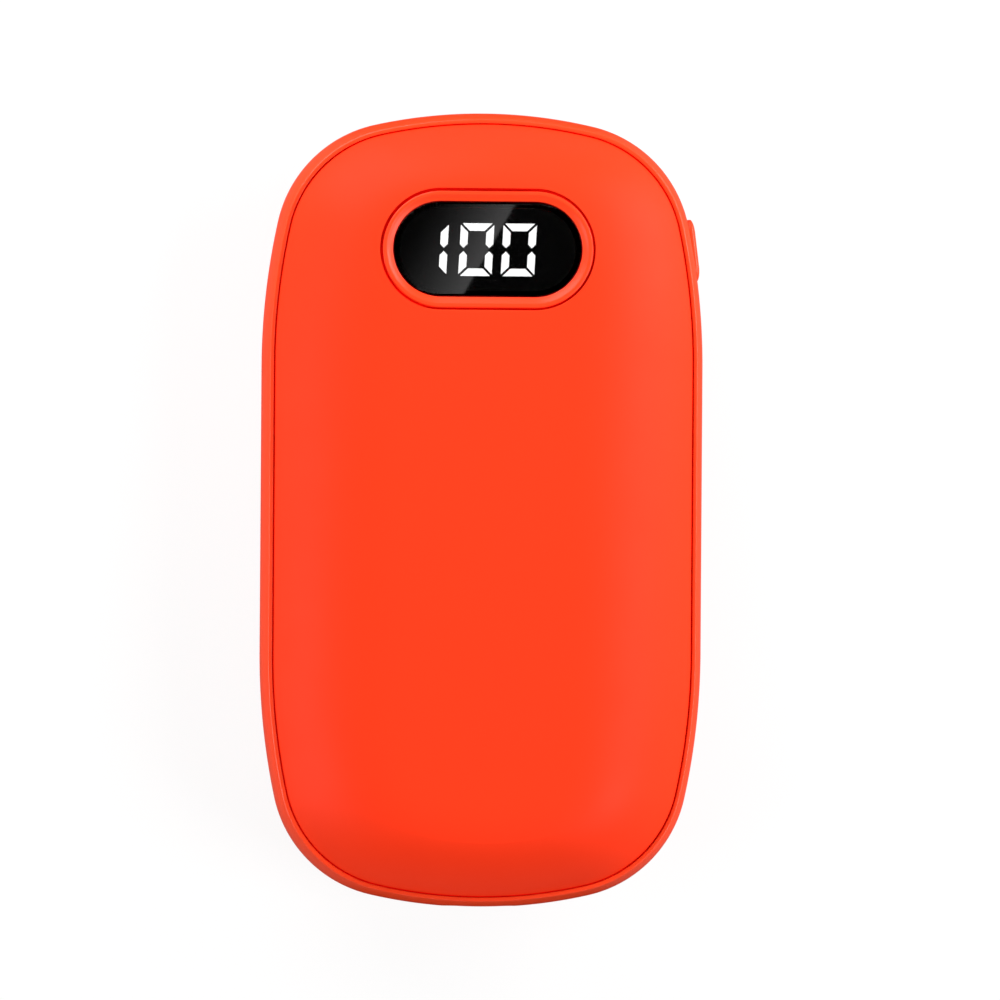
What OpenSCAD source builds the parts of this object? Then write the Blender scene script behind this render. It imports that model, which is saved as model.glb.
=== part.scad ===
// Rechargeable hand warmer: two domed covers snapped into a rounded side frame,
// with a percentage display, a side button and a charging socket.
// The object lies on its rear face: X is its width, Y its length, Z its thickness.

/* [Body] */
// Width across the widest line of the frame
body_w = 61.2; // [58:0.2:65]
// Length across the widest line of the frame
body_l = 110; // [106:0.5:116]
// Thickness from the rear face to the front face
body_t = 26; // [25:0.25:28]
// Height of the frame's side band
band_h = 11; // [10.5:0.25:12]

/* [Outline] */
// Radius of the four corners
corner_r = 17.6; // [16.6:0.2:18.6]
// Radius of the long shoulders beside the straight sides
shoulder_r = 95; // [90:1:102]
// Angle through which a shoulder turns, in degrees
shoulder_turn = 12.2; // [11.6:0.2:13]
// Angle of the outline's normal where a corner meets its end, in degrees
corner_turn = 77.2; // [76.4:0.2:78.4]

/* [Covers] */
// Wall of both covers at the middle
cover_wall = 1.5; // [1.2:0.1:1.8]
// How far in from its edge a cover keeps rising, at the sides
side_run = 17; // [16:0.25:18]
// How far in from its edge a cover keeps rising, at the ends
end_run = 11; // [10:0.25:12]
// How suddenly a cover levels off, as the power of its curve
dome_power = 2.4; // [2.1:0.1:2.8]
// Shadow gap between a cover and the frame
groove = 0.2; // [0.15:0.05:0.3]
// Thickness of the tongue with which a cover enters the frame
tongue_t = 1; // [0.8:0.1:1.2]
// How far the tongue reaches past the frame's rebate
tongue_reach = 1.3; // [1:0.1:1.4]

/* [Frame] */
// Wall of the frame at its widest line
frame_wall = 2.4; // [2.2:0.1:2.6]
// Radius of the frame's outer edges
rim_r = 0.75; // [0.6:0.05:0.9]
// Lean of the bulged side where it meets the rim, in degrees
side_lean = 20; // [17:1:22]
// Depth of the rebate that a cover sits in
rebate_depth = 1.2; // [1:0.1:1.4]

/* [Display] */
// Length of the window in the front cover
window_w = 29.6; // [28.4:0.2:30.2]
// Width of the window in the front cover
window_h = 16.7; // [16.2:0.1:17]
// Distance of the window's centre from the body's end
window_end = 19.2; // [18.6:0.2:20]
// Visible width of the bezel ring, from window to lens
bezel_ring = 1.9; // [1.7:0.1:2]
// Thickness of the lens
lens_t = 0.9; // [0.8:0.1:1.1]
// Height of a digit
digit_h = 7.2; // [6.6:0.1:7.4]
// Width of a digit
digit_w = 4.55; // [4.2:0.05:4.75]
// Width of a digit's strokes
stroke = 1; // [0.9:0.05:1.2]
// Slant of the digits, in degrees
slant = 2.8; // [0:0.2:6]
// Depth of the display's housing
display_t = 5; // [4.5:0.1:5.5]

/* [Button] */
// Length of the button along the side
button_l = 8.6; // [8:0.1:9]
// Width of the button across the band
button_h = 4; // [3.6:0.1:4.2]
// How far the button stands proud of the side
button_proud = 0.6; // [0.5:0.05:0.8]
// Angle of the side's normal at the button, in degrees
button_turn = 10; // [9:0.25:10.5]
// How much straighter the button's face stands than the side, in degrees
button_lean = 3; // [0:0.5:4]
// Travel of the button
button_travel = 0.35; // [0.25:0.05:0.4]

/* [Charging socket] */
// Width of the socket's steel shell
socket_w = 8.94; // [8.8:0.02:9.1]
// Height of the socket's steel shell
socket_h = 3.2; // [3.1:0.02:3.3]
// Length of the socket's steel shell
socket_l = 7.4; // [7:0.1:8]

/* [Battery] */
// Thickness of a cell
cell_t = 6.4; // [6:0.1:6.6]
// Room beside the cells, from the widest line of the frame
side_room = 8.6; // [8.3:0.1:9.6]
// Room past the cells for the display, from the body's end
display_room = 31.5; // [31:0.25:33]
// Room past the cells for the charging board, from the body's end
socket_room = 18.5; // [18.25:0.25:20]

/* [Heaters] */
// Thickness of a heat plate
plate_t = 0.6; // [0.5:0.05:0.8]
// How far in from a cell's sides a heat plate stops
plate_side = 5.5; // [5:0.25:6.5]
// How far in from a cell's ends a heat plate stops
plate_end = 2; // [2:0.25:4]

/* [Hidden] */
$fn = 64;

// Running clearance between neighbouring pieces
gap = 0.1;
// Clearance round pieces that drop into place
slack = 0.3;
// Clearance of a piece that rests on its neighbour
seat = 0.05;
// Overrun of every cut
over = 0.5;

// Whole body
half_w = body_w / 2;
half_l = body_l / 2;
mid_z = body_t / 2;
dome_h = (body_t - band_h) / 2;
front_z = mid_z + band_h / 2;

// Steps of the outline and of the curves across it
shoulder_steps = 3;
corner_steps = 12;
end_steps = 3;
dome_steps = 8;
cavity_steps = 6;
rim_angles = [-90, -66, -43, -20, -10, 0, 10, 20, 43, 66, 90];

// Frame section, as distances in from the widest line
rim_z = band_h / 2 - rim_r * (1 - sin(side_lean));
bulge_r = rim_z / sin(side_lean);
rim_in = bulge_r * (1 - cos(side_lean)) + rim_r * cos(side_lean);
rebate_z = band_h / 2 - rebate_depth;

// Cover section
edge_in = rim_in + groove;
tongue_in = frame_wall + gap;
cavity_in = tongue_in + tongue_t;
tongue_z = rebate_z - tongue_reach;
ceiling_z = body_t - cover_wall;

// Snap hooks on the straight sides
hook_l = 6;
hook_h = 0.7;
hook_out = 0.4;
hook_in = 4.8;
hook_pitch = straight(half_w, half_l) - hook_in;
hook_z = tongue_z + gap + hook_h;

// Ribs inside a cover that locate its heat plate
rib_t = 0.9;
rib_l = 16;
rib_end_l = 12;
rib_share = 0.3;

// Screw bosses, ears and screws
boss_r = 2.3;
boss_inset = 6.9;
screw_r = 0.9;
screw_head_r = 1.8;
screw_head_h = 1.2;
screw_l = 6;
screw_edge = 0.2;
pilot_r = screw_r + gap / 2;
ear_r = 2.7;
ear_t = 1.2;
ear_z = mid_z - tongue_z + gap;
boss_top = ear_z - gap;

// Chassis
deck_t = 1.2;
deck_z = ear_z + ear_t + gap;
deck_top = deck_z + deck_t;
deck_in = frame_wall + slack;
fence_t = 1.2;
fence_h = 4;

// Battery stack
cell_w = body_w - 2 * side_room;
cell_l = body_l - display_room - socket_room;
tape_t = 0.3;
stack_h = 2 * cell_t + tape_t;
cell_y = (socket_room - display_room) / 2;
cell_end = cell_y + cell_l / 2;
cell_edge_r = 1.5;
bay_w = cell_w + 2 * slack;
tape_margin = 4;
cell_board_w = 28;
cell_board_x = -3;
cell_board_d = 3.2;
cell_board_t = 1;
tab_w = 4;
tab_l = 2.2;
tab_t = 0.2;
tab_pitch = 6.5;
bay_top = cell_end + slack + cell_board_d + slack;
bay_bottom = cell_y - cell_l / 2 - slack;
bay_l = bay_top - bay_bottom;
bay_y = (bay_top + bay_bottom) / 2;
cell_board_y = cell_end + slack + cell_board_d / 2;

// Bezel, lens and display, as radii round the window's two centres
window_y = half_l - window_end;
window_half = (window_w - window_h) / 2;
window_r = window_h / 2;
bezel_r = window_r - groove;
lens_r = window_r - bezel_ring;
lens_seat_r = lens_r + gap;
bezel_drop = 0.25;
bezel_bevel = 0.2;
bezel_land = 0.35;
dish_drop = 0.45;
lens_drop = 0.85;
flange_out = 1.4;
flange_t = 0.9;
lens_ledge = 0.9;
tape_ring_t = 0.15;
lens_top = body_t - lens_drop;
lens_bottom = lens_top - lens_t;
ledge_z = lens_bottom - tape_ring_t;
flange_top = ceiling_z - gap / 2;
flange_r = window_r + flange_out;
flange_z = min(flange_top, ledge_z) - flange_t;
window_rib_t = 1.1;
window_rib_h = 1.3;
display_w = 2 * (window_half + lens_seat_r) - 2 * lens_ledge + 2 * slack;
display_h = 2 * lens_seat_r - 2 * lens_ledge + 2 * slack;
display_top = flange_z - gap;
display_corner_r = 1;
digit_gap = 1.3;
one_gap = 1.7;
digits_off = 0.1;
digits_w = stroke + one_gap + 2 * digit_w + digit_gap;
last_x = (digits_w - digit_w) / 2 + digits_off;
zeros_x = [last_x - digit_w - digit_gap, last_x];
one_x = zeros_x[0] - digit_w - one_gap;
segment_gap = 0.25;
segment_t = 1;
segment_fit = 0.04;

// Boards
board_t = 1;
board_top = display_top - display_t;
board_z = board_top - board_t;
board_side = 2.4;
board_half = window_half + window_r + board_side;
board_low = bay_top + fence_t + slack;
board_past = 3.2;
board_high = window_y + window_r + board_past;
board_l = board_high - board_low;
board_y = (board_high + board_low) / 2;
board_corner_r = 1.5;
post_r = 1.7;
post_in = 2.4;
post_pitch = 7.8;
board_screw_r = 0.6;
board_screw_l = 3.2;
board_head_r = 1.2;
board_head_h = 0.7;
chip_w = 5;
chip_t = 0.9;
cap_w = 2;
cap_l = 1.2;
cap_t = 1.1;
inductor_w = 6;
inductor_t = 2.8;
inductor_base_t = 0.5;
inductor_rim = 0.8;
// Places of parts on the control board, as shares of its half width and half length
chip_shares = [[0.3, 0.1], [-0.08, -0.5]];
cap_shares = [[0.02, 0.62], [0.18, 0.62], [0.34, 0.62], [0.3, -0.55], [-0.42, -0.5]];
inductor_share = [-0.48, 0.2];

// Button and its switch, along the side's normal from the widest line
shoulder_c = [half_w - shoulder_r, straight(half_w, half_l)];
button_p = shoulder_c + shoulder_r * [cos(button_turn), sin(button_turn)];
button_edge = 0.25;
flange_rim = 0.8;
flange_play = 0.3;
cap_flange_t = 0.8;
cap_flange_x = -frame_wall - flange_play - cap_flange_t;
plunger_r = 1.4;
plunger_l = 0.8;
plunger_x = cap_flange_x - plunger_l;
stem_r = 1.2;
stem_out = 1.2;
stem_in = 1.6;
switch_w = 6;
switch_d = 3.5;
switch_x = plunger_x - stem_out;
switch_below = 2.6;
switch_arm = 1.2;
wing_in = 2;

// Charging socket, with its mouth set back from the end
mouth_in = 0.8;
shell_t = 0.3;
port_gap = 0.15;
port_flare = 0.7;
port_flare_d = 0.5;
tongue_plate_w = 6.7;
tongue_plate_t = 0.7;
tongue_plate_l = 5.2;
tongue_root = 1.4;
charge_z = mid_z + socket_h / 2;
charge_w = 22;
charge_l = 11.5;
charge_in = 3.8;
charge_edge = -half_l + charge_in;
charge_post_x = 8.8;
charge_post_in = 4.8;
charge_corner_r = 2;
// Places of parts on the charge board, as shares of its half width and half length
charge_chip_shares = [[0.05, 0.35]];
charge_cap_shares = [[-0.35, -0.15], [-0.35, -0.55], [0.42, -0.35]];

// Heaters, from a cover inwards
plate_w = cell_w - 2 * plate_side;
plate_l = cell_l - 2 * plate_end;
plate_corner_r = 3;
pad_side = 6.5;
pad_end = 4;
pad_w = plate_w - 2 * pad_side;
pad_l = plate_l - 2 * pad_end;
pad_t = 0.8;
film_t = 0.25;
film_margin = 0.5;
film_w = plate_w - 2 * film_margin;
film_l = plate_l - 2 * film_margin;
tail_w = 2.6;
tail_x = (film_w - tail_w) / 2 - seat;
tail_y = bay_top - 1.1;
tail_land = 2;
foam_margin = 1.5;
film_z = ceiling_z - pad_t - plate_t - film_t;
foam_z = mid_z + stack_h / 2 + seat;
foam_t = film_z - seat - foam_z;
heater_y = cell_y;
bead_r = 0.8;
bead_l = 2.4;
leg_r = 0.2;
leg_l = 2;
leg_pitch = 0.8;
pocket_w = 3;
pocket_l = 6;

// Wires
lead_r = 0.55;
lead_bend = 1.3;
lead_pitch = 1.8;
solder_r = 0.8;
solder_t = 0.5;
solder_edge = 0.6;
lead_x = board_half - solder_edge - solder_r;
lead_in = 2;
lead_rise = 1.2;
lead_top = board_top + lead_rise + lead_bend;
ribbon_t = 0.3;
ribbon_in = 1.1;
ribbon_bend = 2;
ribbon_off = 1;
ribbon_x = bay_w / 2 + fence_t + ribbon_off;
ribbon_z = charge_z + board_t + seat;
ribbon_h = board_z - seat - ribbon_z;

// Colours
shell_colour = "#fb4b22";
plastic_black = "#16161a";
board_green = "#1c5b3c";
steel_colour = "#b9bcc1";

// Straight half length of an outline's sides
function straight(a, b) =
    b - shoulder_r * a / half_w * sin(shoulder_turn)
      - corner_r * a / half_w * (sin(corner_turn) - sin(shoulder_turn))
      - end_radius(a) * (1 - sin(corner_turn));

// Radius of an outline's ends, so that its four kinds of stretch meet smoothly
function end_radius(a) =
    (a - shoulder_r * a / half_w * (1 - cos(shoulder_turn))
       - corner_r * a / half_w * (cos(shoulder_turn) - cos(corner_turn))) / cos(corner_turn);

function arc(c, r, from, to, steps) =
    [for (i = [1 : steps]) let (t = from + (to - from) * i / steps) c + r * [cos(t), sin(t)]];

// One quarter of the outline of half width a and half length b: straight, shoulder, corner, end
function quarter(a, b) =
    let (
        rs = shoulder_r * a / half_w,
        rc = corner_r * a / half_w,
        cs = [a - rs, straight(a, b)],
        cc = cs + (rs - rc) * [cos(shoulder_turn), sin(shoulder_turn)],
        ce = [0, b - end_radius(a)]
    )
    concat(
        [[a, cs.y]],
        arc(cs, rs, 0, shoulder_turn, shoulder_steps),
        arc(cc, rc, shoulder_turn, corner_turn, corner_steps),
        arc(ce, end_radius(a), corner_turn, 90, end_steps)
    );

function outline(a, b) =
    let (q = quarter(a, b), n = len(q))
    concat(
        q,
        [for (i = [n - 2 : -1 : 0]) [-q[i].x, q[i].y]],
        [for (p = q) -p],
        [for (i = [n - 2 : -1 : 0]) [q[i].x, -q[i].y]]
    );

// The outline at height z, set in from the widest line at the sides and at the ends
function ring(dx, dy, z) = [for (p = outline(half_w - dx, half_l - dy)) [p.x, p.y, z]];

// Centre of a boss or screw in a corner
function corner_spot() =
    shoulder_c + (shoulder_r - corner_r) * [cos(shoulder_turn), sin(shoulder_turn)]
    + (corner_r - boss_inset) * [cos(45), sin(45)];

// Triangles between two neighbouring rings of n points
function band(low, high, n) =
    [for (j = [0 : n - 1]) let (k = (j + 1) % n)
        each [[low + j, high + k, low + k], [low + j, high + j, high + k]]];

// A closed body through a stack of rings
module loft(rings) {
    n = len(rings[0]);
    m = len(rings);
    polyhedron(
        [for (r = rings) each r],
        concat(
            [for (i = [0 : m - 2]) each band(i * n, (i + 1) * n, n)],
            [[for (j = [0 : n - 1]) j]],
            [[for (j = [n - 1 : -1 : 0]) (m - 1) * n + j]]
        ),
        convexity = 4
    );
}

// A hoop whose section runs through a loop of rings
module hoop(rings) {
    n = len(rings[0]);
    m = len(rings);
    polyhedron(
        [for (r = rings) each r],
        [for (i = [0 : m - 1]) each band(i * n, ((i + 1) % m) * n, n)],
        convexity = 8
    );
}

// Rounded slot shape, and the same with its own two centres given
module pill(w, h) {
    square([w - h, h], center = true);
    for (s = [-1, 1]) translate([s * (w - h) / 2, 0]) circle(d = h);
}

module window_pill(r) {
    pill(2 * (window_half + r), 2 * r);
}

// A section swept round the window's pill shape, with its first axis as the radius
module window_sweep() {
    for (s = [0, 180]) rotate(s) translate([window_half, 0, 0])
        rotate_extrude(angle = 180, start = -90) children();
    for (s = [0, 180]) rotate(s) translate([-window_half, 0, 0])
        rotate([90, 0, 90]) linear_extrude(2 * window_half) children();
}

module at_window(z) {
    translate([0, window_y, z]) children();
}

module at_button() {
    translate([button_p.x, button_p.y, mid_z]) rotate(button_turn) children();
}

module at_corners() {
    p = corner_spot();
    for (x = [-1, 1], y = [-1, 1]) translate([x * p.x, y * p.y, 0]) rotate(atan2(y, x)) children();
}

// Turns a piece of the front half over to the rear half
module rear_half() {
    translate([0, 0, body_t]) mirror([0, 0, 1]) children();
}

// Rounded plate shape, and a plain block that stands on its middle
module rounded(w, l, r) {
    square([w - 2 * r, l], center = true);
    square([w, l - 2 * r], center = true);
    for (x = [-1, 1], y = [-1, 1]) translate([x * (w / 2 - r), y * (l / 2 - r)]) circle(r);
}

module block(w, l, h) {
    translate([-w / 2, -l / 2, 0]) cube([w, l, h]);
}

// Rings of a cover's outer and inner face; s runs from 0 where it is level to 1 at its edge
function outer_ring(s) =
    ring(edge_in + side_run * (1 - s), edge_in + end_run * (1 - s),
         front_z + dome_h * (1 - pow(s, dome_power)));

function inner_ring(s) =
    ring(cavity_in + (edge_in + side_run - cavity_in) * (1 - s),
         cavity_in + (edge_in + end_run - cavity_in) * (1 - s),
         front_z + (dome_h - cover_wall) * (1 - pow(s, dome_power)));

// Thin-walled moulding: from the ceiling out to the tongue, round it and up over the outside
module cover_shell() {
    loft(concat(
        [for (i = [0 : cavity_steps]) inner_ring(i / cavity_steps)],
        [
            ring(cavity_in, cavity_in, mid_z + tongue_z),
            ring(tongue_in, tongue_in, mid_z + tongue_z),
            ring(tongue_in, tongue_in, mid_z + rebate_z + gap),
            ring(edge_in, edge_in, mid_z + rebate_z + gap)
        ],
        [for (i = [dome_steps : -1 : 0]) outer_ring(i / dome_steps)]
    ));
}

// Everything below the middle of the cover's wall, to which its ribs and bosses are trimmed
module cover_core() {
    translate([0, 0, -cover_wall / 2]) loft(concat(
        [ring(edge_in, edge_in, mid_z)],
        [for (i = [dome_steps : -1 : 0]) outer_ring(i / dome_steps)]
    ));
}

// Places of the snap hooks, with X outwards from the widest line
module at_hooks() {
    for (turn = [0, 180], y = [-1, 1]) rotate(turn)
        translate([half_w, y * hook_pitch, mid_z]) children();
}

module hooks() {
    at_hooks() translate([-tongue_in, hook_l / 2, hook_z]) rotate([90, 0, 0])
        linear_extrude(hook_l) polygon([
            [-tongue_t / 2, -hook_h], [0, -hook_h], [hook_out, 0], [-tongue_t / 2, 0]
        ]);
}

module hook_recesses() {
    at_hooks() translate([-frame_wall - over, -hook_l / 2 - gap, tongue_z - gap])
        cube([over + frame_wall - tongue_in + hook_out + gap, hook_l + 2 * gap,
              hook_z - tongue_z + 2 * gap]);
}

module plate_ribs() {
    for (x = [-1, 1], y = [-1, 1])
        translate([x * (plate_w / 2 + slack + rib_t / 2), heater_y + y * plate_l * rib_share, film_z])
            block(rib_t, rib_l, body_t - film_z);
    for (y = [-1, 1])
        translate([0, heater_y + y * (plate_l / 2 + slack + rib_t / 2), film_z])
            block(rib_end_l, rib_t, body_t - film_z);
}

module front_cover() {
    color(shell_colour) difference() {
        union() {
            cover_shell();
            hooks();
            intersection() {
                cover_core();
                union() {
                    plate_ribs();
                    at_window(ceiling_z - window_rib_h) linear_extrude(dome_h)
                        window_pill(flange_r + gap + window_rib_t);
                }
            }
        }
        at_window(mid_z) linear_extrude(mid_z + over) window_pill(window_r);
        at_window(mid_z) linear_extrude(ceiling_z - mid_z) window_pill(flange_r + gap);
    }
}

module rear_cover() {
    tip_z = deck_top - screw_l - slack;
    color(shell_colour) difference() {
        rear_half() union() {
            cover_shell();
            hooks();
            intersection() {
                cover_core();
                union() {
                    plate_ribs();
                    at_corners() translate([0, 0, body_t - boss_top]) cylinder(r = boss_r, h = boss_top);
                }
            }
        }
        at_corners() translate([0, 0, tip_z]) cylinder(r = pilot_r, h = boss_top - tip_z + over);
    }
}

// Point of the frame's outer section: its bulged side, or one of its two rounded rims
function rim_ring(turn) =
    let (
        side = abs(turn) <= side_lean,
        in = side ? bulge_r * (1 - cos(turn)) : rim_in - rim_r * cos(turn),
        up = side ? bulge_r * sin(turn) : sign(turn) * (band_h / 2 - rim_r) + rim_r * sin(turn)
    )
    ring(in, in, mid_z + up);

module mid_frame() {
    color(shell_colour) difference() {
        union() {
            hoop(concat(
                [for (turn = rim_angles) rim_ring(turn)],
                [
                    ring(rim_in, rim_in, mid_z + rebate_z),
                    ring(frame_wall, frame_wall, mid_z + rebate_z),
                    ring(frame_wall, frame_wall, mid_z - rebate_z),
                    ring(rim_in, rim_in, mid_z - rebate_z)
                ]
            ));
            at_corners() translate([0, 0, ear_z]) linear_extrude(ear_t) {
                circle(ear_r);
                translate([0, -ear_r]) square([boss_inset - frame_wall / 2, 2 * ear_r]);
            }
        }
        at_corners() translate([0, 0, ear_z - over])
            cylinder(r = screw_r + gap, h = ear_t + 2 * over);
        hook_recesses();
        rear_half() hook_recesses();
        side_prism(-frame_wall - over, over) pill(button_l + 2 * gap, button_h + 2 * gap);
        end_prism(frame_wall + over, -over) pill(socket_w + 2 * port_gap, socket_h + 2 * port_gap);
        end_prism(port_flare_d, -over) pill(socket_w + 2 * port_flare, socket_h + 2 * port_flare);
    }
}

// Shape pushed through the side at the button, from one depth to another
module side_prism(from, to) {
    at_button() translate([from, 0, 0]) rotate([90, 0, 90]) linear_extrude(to - from) children();
}

// Shape pushed through the socket's end, between two distances in from the widest line
module end_prism(from, to) {
    translate([0, from - half_l, mid_z]) rotate([90, 0, 0]) linear_extrude(from - to) children();
}

module display_bezel() {
    top = body_t - bezel_drop;
    land_r = bezel_r - bezel_bevel - bezel_land;
    color(shell_colour) at_window(0) window_sweep() polygon([
        [lens_seat_r - lens_ledge, flange_z], [flange_r, flange_z], [flange_r, flange_top],
        [bezel_r, flange_top], [bezel_r, top - bezel_bevel], [bezel_r - bezel_bevel, top],
        [land_r, top], [lens_seat_r, top - dish_drop], [lens_seat_r, ledge_z],
        [lens_seat_r - lens_ledge, ledge_z]
    ]);
}

module display_lens() {
    color("#08080a") at_window(lens_bottom) linear_extrude(lens_t) window_pill(lens_r);
}

module lens_tape() {
    color("#3a3a3e") at_window(ledge_z) linear_extrude(tape_ring_t) difference() {
        window_pill(lens_r);
        window_pill(lens_seat_r - lens_ledge);
    }
}

// A digit's outline points, leaned over and moved to its place
function leaned(points, x) = [for (p = points) [x + p.x + p.y * tan(slant), p.y]];

// Upright bar in one quarter of a digit, mitred at its corner and pointed at mid height
module upright_bar(x, sx, sy, grow) {
    w = digit_w / 2 + grow;
    h = digit_h / 2 + grow;
    s = stroke + 2 * grow;
    g = segment_gap - 1.5 * grow;
    quarter = [[w, h - g], [w, g + s / 2], [w - s / 2, g], [w - s, g + s / 2], [w - s, h - s - g]];
    polygon(leaned([for (p = quarter) [sx * p.x, sy * p.y]], x));
}

// Top or bottom bar of a digit, mitred at both corners
module end_bar(x, sy, grow) {
    w = digit_w / 2 + grow;
    h = digit_h / 2 + grow;
    s = stroke + 2 * grow;
    g = segment_gap - 1.5 * grow;
    long = w - g;
    short = long - s;
    polygon(leaned([[long, sy * h], [-long, sy * h], [-short, sy * (h - s)], [short, sy * (h - s)]], x));
}

// Middle bar of a digit, pointed at both ends
module middle_bar(x, grow) {
    h = stroke / 2 + grow;
    w = (digit_w - stroke) / 2 - segment_gap + 1.5 * grow;
    polygon(leaned([[w, 0], [w - h, h], [h - w, h], [-w, 0], [h - w, -h], [w - h, -h]], x));
}

// The bars that light for a full charge, and the two that stay dark
module lit_bars(grow) {
    for (sy = [-1, 1]) {
        upright_bar(one_x, 1, sy, grow);
        for (x = zeros_x) {
            end_bar(x, sy, grow);
            for (sx = [-1, 1]) upright_bar(x, sx, sy, grow);
        }
    }
}

module dark_bars(grow) {
    for (x = zeros_x) middle_bar(x, grow);
}

module display_housing() {
    color(plastic_black) difference() {
        at_window(board_top) linear_extrude(display_t) rounded(display_w, display_h, display_corner_r);
        at_window(display_top - segment_t - segment_fit) linear_extrude(segment_t + over) {
            lit_bars(segment_fit);
            dark_bars(segment_fit);
        }
    }
}

module lit_segments() {
    color("#f4f6ff") at_window(display_top - segment_t) linear_extrude(segment_t) lit_bars(0);
}

module unlit_segments() {
    color("#2c2c30") at_window(display_top - segment_t) linear_extrude(segment_t) dark_bars(0);
}

module button_cap() {
    key_end = button_proud - button_edge - button_l / 2 * tan(button_lean);
    color(shell_colour) {
        hull() {
            side_prism(cap_flange_x + cap_flange_t / 2, key_end) pill(button_l, button_h, $fn = 32);
            at_button() translate([button_proud, 0, 0]) rotate(-button_lean)
                translate([-seat, 0, 0]) rotate([90, 0, 90]) linear_extrude(seat)
                    pill(button_l - 2 * button_edge, button_h - 2 * button_edge, $fn = 32);
        }
        side_prism(cap_flange_x, cap_flange_x + cap_flange_t)
            pill(button_l + 2 * flange_rim, button_h + 2 * flange_rim);
        side_prism(plunger_x, cap_flange_x + cap_flange_t / 2) circle(plunger_r);
    }
}

module switch_body() {
    color(plastic_black) difference() {
        side_prism(switch_x - switch_d, switch_x) translate([-switch_w / 2, -switch_below])
            square([switch_w, board_z - mid_z + switch_below]);
        side_prism(switch_x - stem_in - button_travel - gap, switch_x + over) circle(stem_r + gap);
    }
}

module switch_stem() {
    color("#dcdcd6") side_prism(switch_x - stem_in, plunger_x) circle(stem_r);
}

// Screw holes of the control board and of the charge board
module at_board_posts() {
    for (x = [-1, 1], y = [0, 1])
        translate([x * (board_half - post_in), board_high - post_in - y * post_pitch, 0]) children();
}

module at_charge_posts() {
    for (x = [-1, 1])
        translate([x * charge_post_x, charge_edge + charge_l - charge_post_in, 0]) children();
}

module control_board() {
    // From the side's widest line to inside the board's straight edge
    wing_l = (button_p.x - board_half + wing_in) / cos(button_turn);
    color(board_green) difference() {
        translate([0, 0, board_z]) linear_extrude(board_t) {
            translate([0, board_y]) rounded(2 * board_half, board_l, board_corner_r);
            translate([button_p.x, button_p.y]) rotate(button_turn)
                translate([-wing_l, -switch_w / 2 - switch_arm])
                    square([wing_l + switch_x, switch_w + 2 * switch_arm]);
        }
        at_board_posts() translate([0, 0, board_z - over])
            cylinder(r = board_screw_r + gap, h = board_t + 2 * over);
    }
}

// A place on a board, from a share of its half width and half length
function on_board(share, w, l, y) = [share.x * w / 2, y + share.y * l / 2, 0];

module control_chips() {
    color("#26262b") {
        for (share = chip_shares)
            translate(on_board(share, 2 * board_half, board_l, board_y) + [0, 0, board_z - chip_t])
                block(chip_w, chip_w, chip_t);
        for (share = cap_shares)
            translate(on_board(share, 2 * board_half, board_l, board_y) + [0, 0, board_z - cap_t])
                block(cap_w, cap_l, cap_t);
    }
}

module power_inductor() {
    place = on_board(inductor_share, 2 * board_half, board_l, board_y);
    color("#6f6f74") translate(place) {
        translate([0, 0, board_z - inductor_base_t]) block(inductor_w, inductor_w, inductor_base_t);
        translate([0, 0, board_z - inductor_t]) linear_extrude(inductor_t)
            rounded(inductor_w - inductor_rim / 2, inductor_w - inductor_rim / 2, inductor_rim);
    }
}

// Pan-head screw with a cross recess, its head's seat at the origin
module screw(r, l, head_r, head_h) {
    difference() {
        rotate_extrude() polygon([
            [0, -l], [r - screw_edge, -l], [r, screw_edge - l], [r, 0], [head_r, 0],
            [head_r, head_h - screw_edge], [head_r - screw_edge, head_h], [0, head_h]
        ]);
        for (turn = [0, 90]) rotate(turn) translate([0, 0, head_h / 2])
            block(1.2 * head_r, 0.3 * head_r, head_h);
    }
}

module board_screws() {
    color(steel_colour) {
        at_board_posts() translate([0, 0, board_top + seat])
            screw(board_screw_r, board_screw_l, board_head_r, board_head_h);
        at_charge_posts() translate([0, 0, charge_z + board_t + seat])
            screw(board_screw_r, board_screw_l, board_head_r, board_head_h);
    }
}

module chassis_screws() {
    color(steel_colour) at_corners() translate([0, 0, deck_top + seat])
        screw(screw_r, screw_l, screw_head_r, screw_head_h);
}

module chassis() {
    notch_w = button_l + 2 * flange_rim + 2 * slack;
    color("#dedbd2") difference() {
        union() {
            translate([0, 0, deck_z]) linear_extrude(deck_t)
                polygon(outline(half_w - deck_in, half_l - deck_in));
            translate([0, bay_y, deck_z])
                block(bay_w + 2 * fence_t, bay_l + 2 * fence_t, deck_t + fence_h);
            at_board_posts() translate([0, 0, deck_z]) cylinder(r = post_r, h = board_z - deck_z);
            at_charge_posts() translate([0, 0, deck_z]) cylinder(r = post_r, h = charge_z - deck_z);
        }
        translate([0, bay_y, deck_z - over]) block(bay_w, bay_l, deck_t + fence_h + 2 * over);
        // Room for the button and its switch, and for the socket
        at_button() translate([switch_x - switch_d - slack, -notch_w / 2, deck_z - mid_z - over])
            cube([half_w, notch_w, deck_t + 2 * over]);
        translate([-socket_w / 2 - slack, -half_l, deck_z - over])
            cube([socket_w + 2 * slack, mouth_in + socket_l + slack, deck_t + 2 * over]);
        at_corners() translate([0, 0, deck_z - over])
            cylinder(r = screw_r + gap, h = deck_t + 2 * over);
        at_board_posts() translate([0, 0, board_top - board_screw_l - slack])
            cylinder(r = board_screw_r + seat, h = board_screw_l);
        at_charge_posts() translate([0, 0, deck_z - over])
            cylinder(r = board_screw_r + seat, h = charge_z - deck_z + 2 * over);
    }
}

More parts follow.
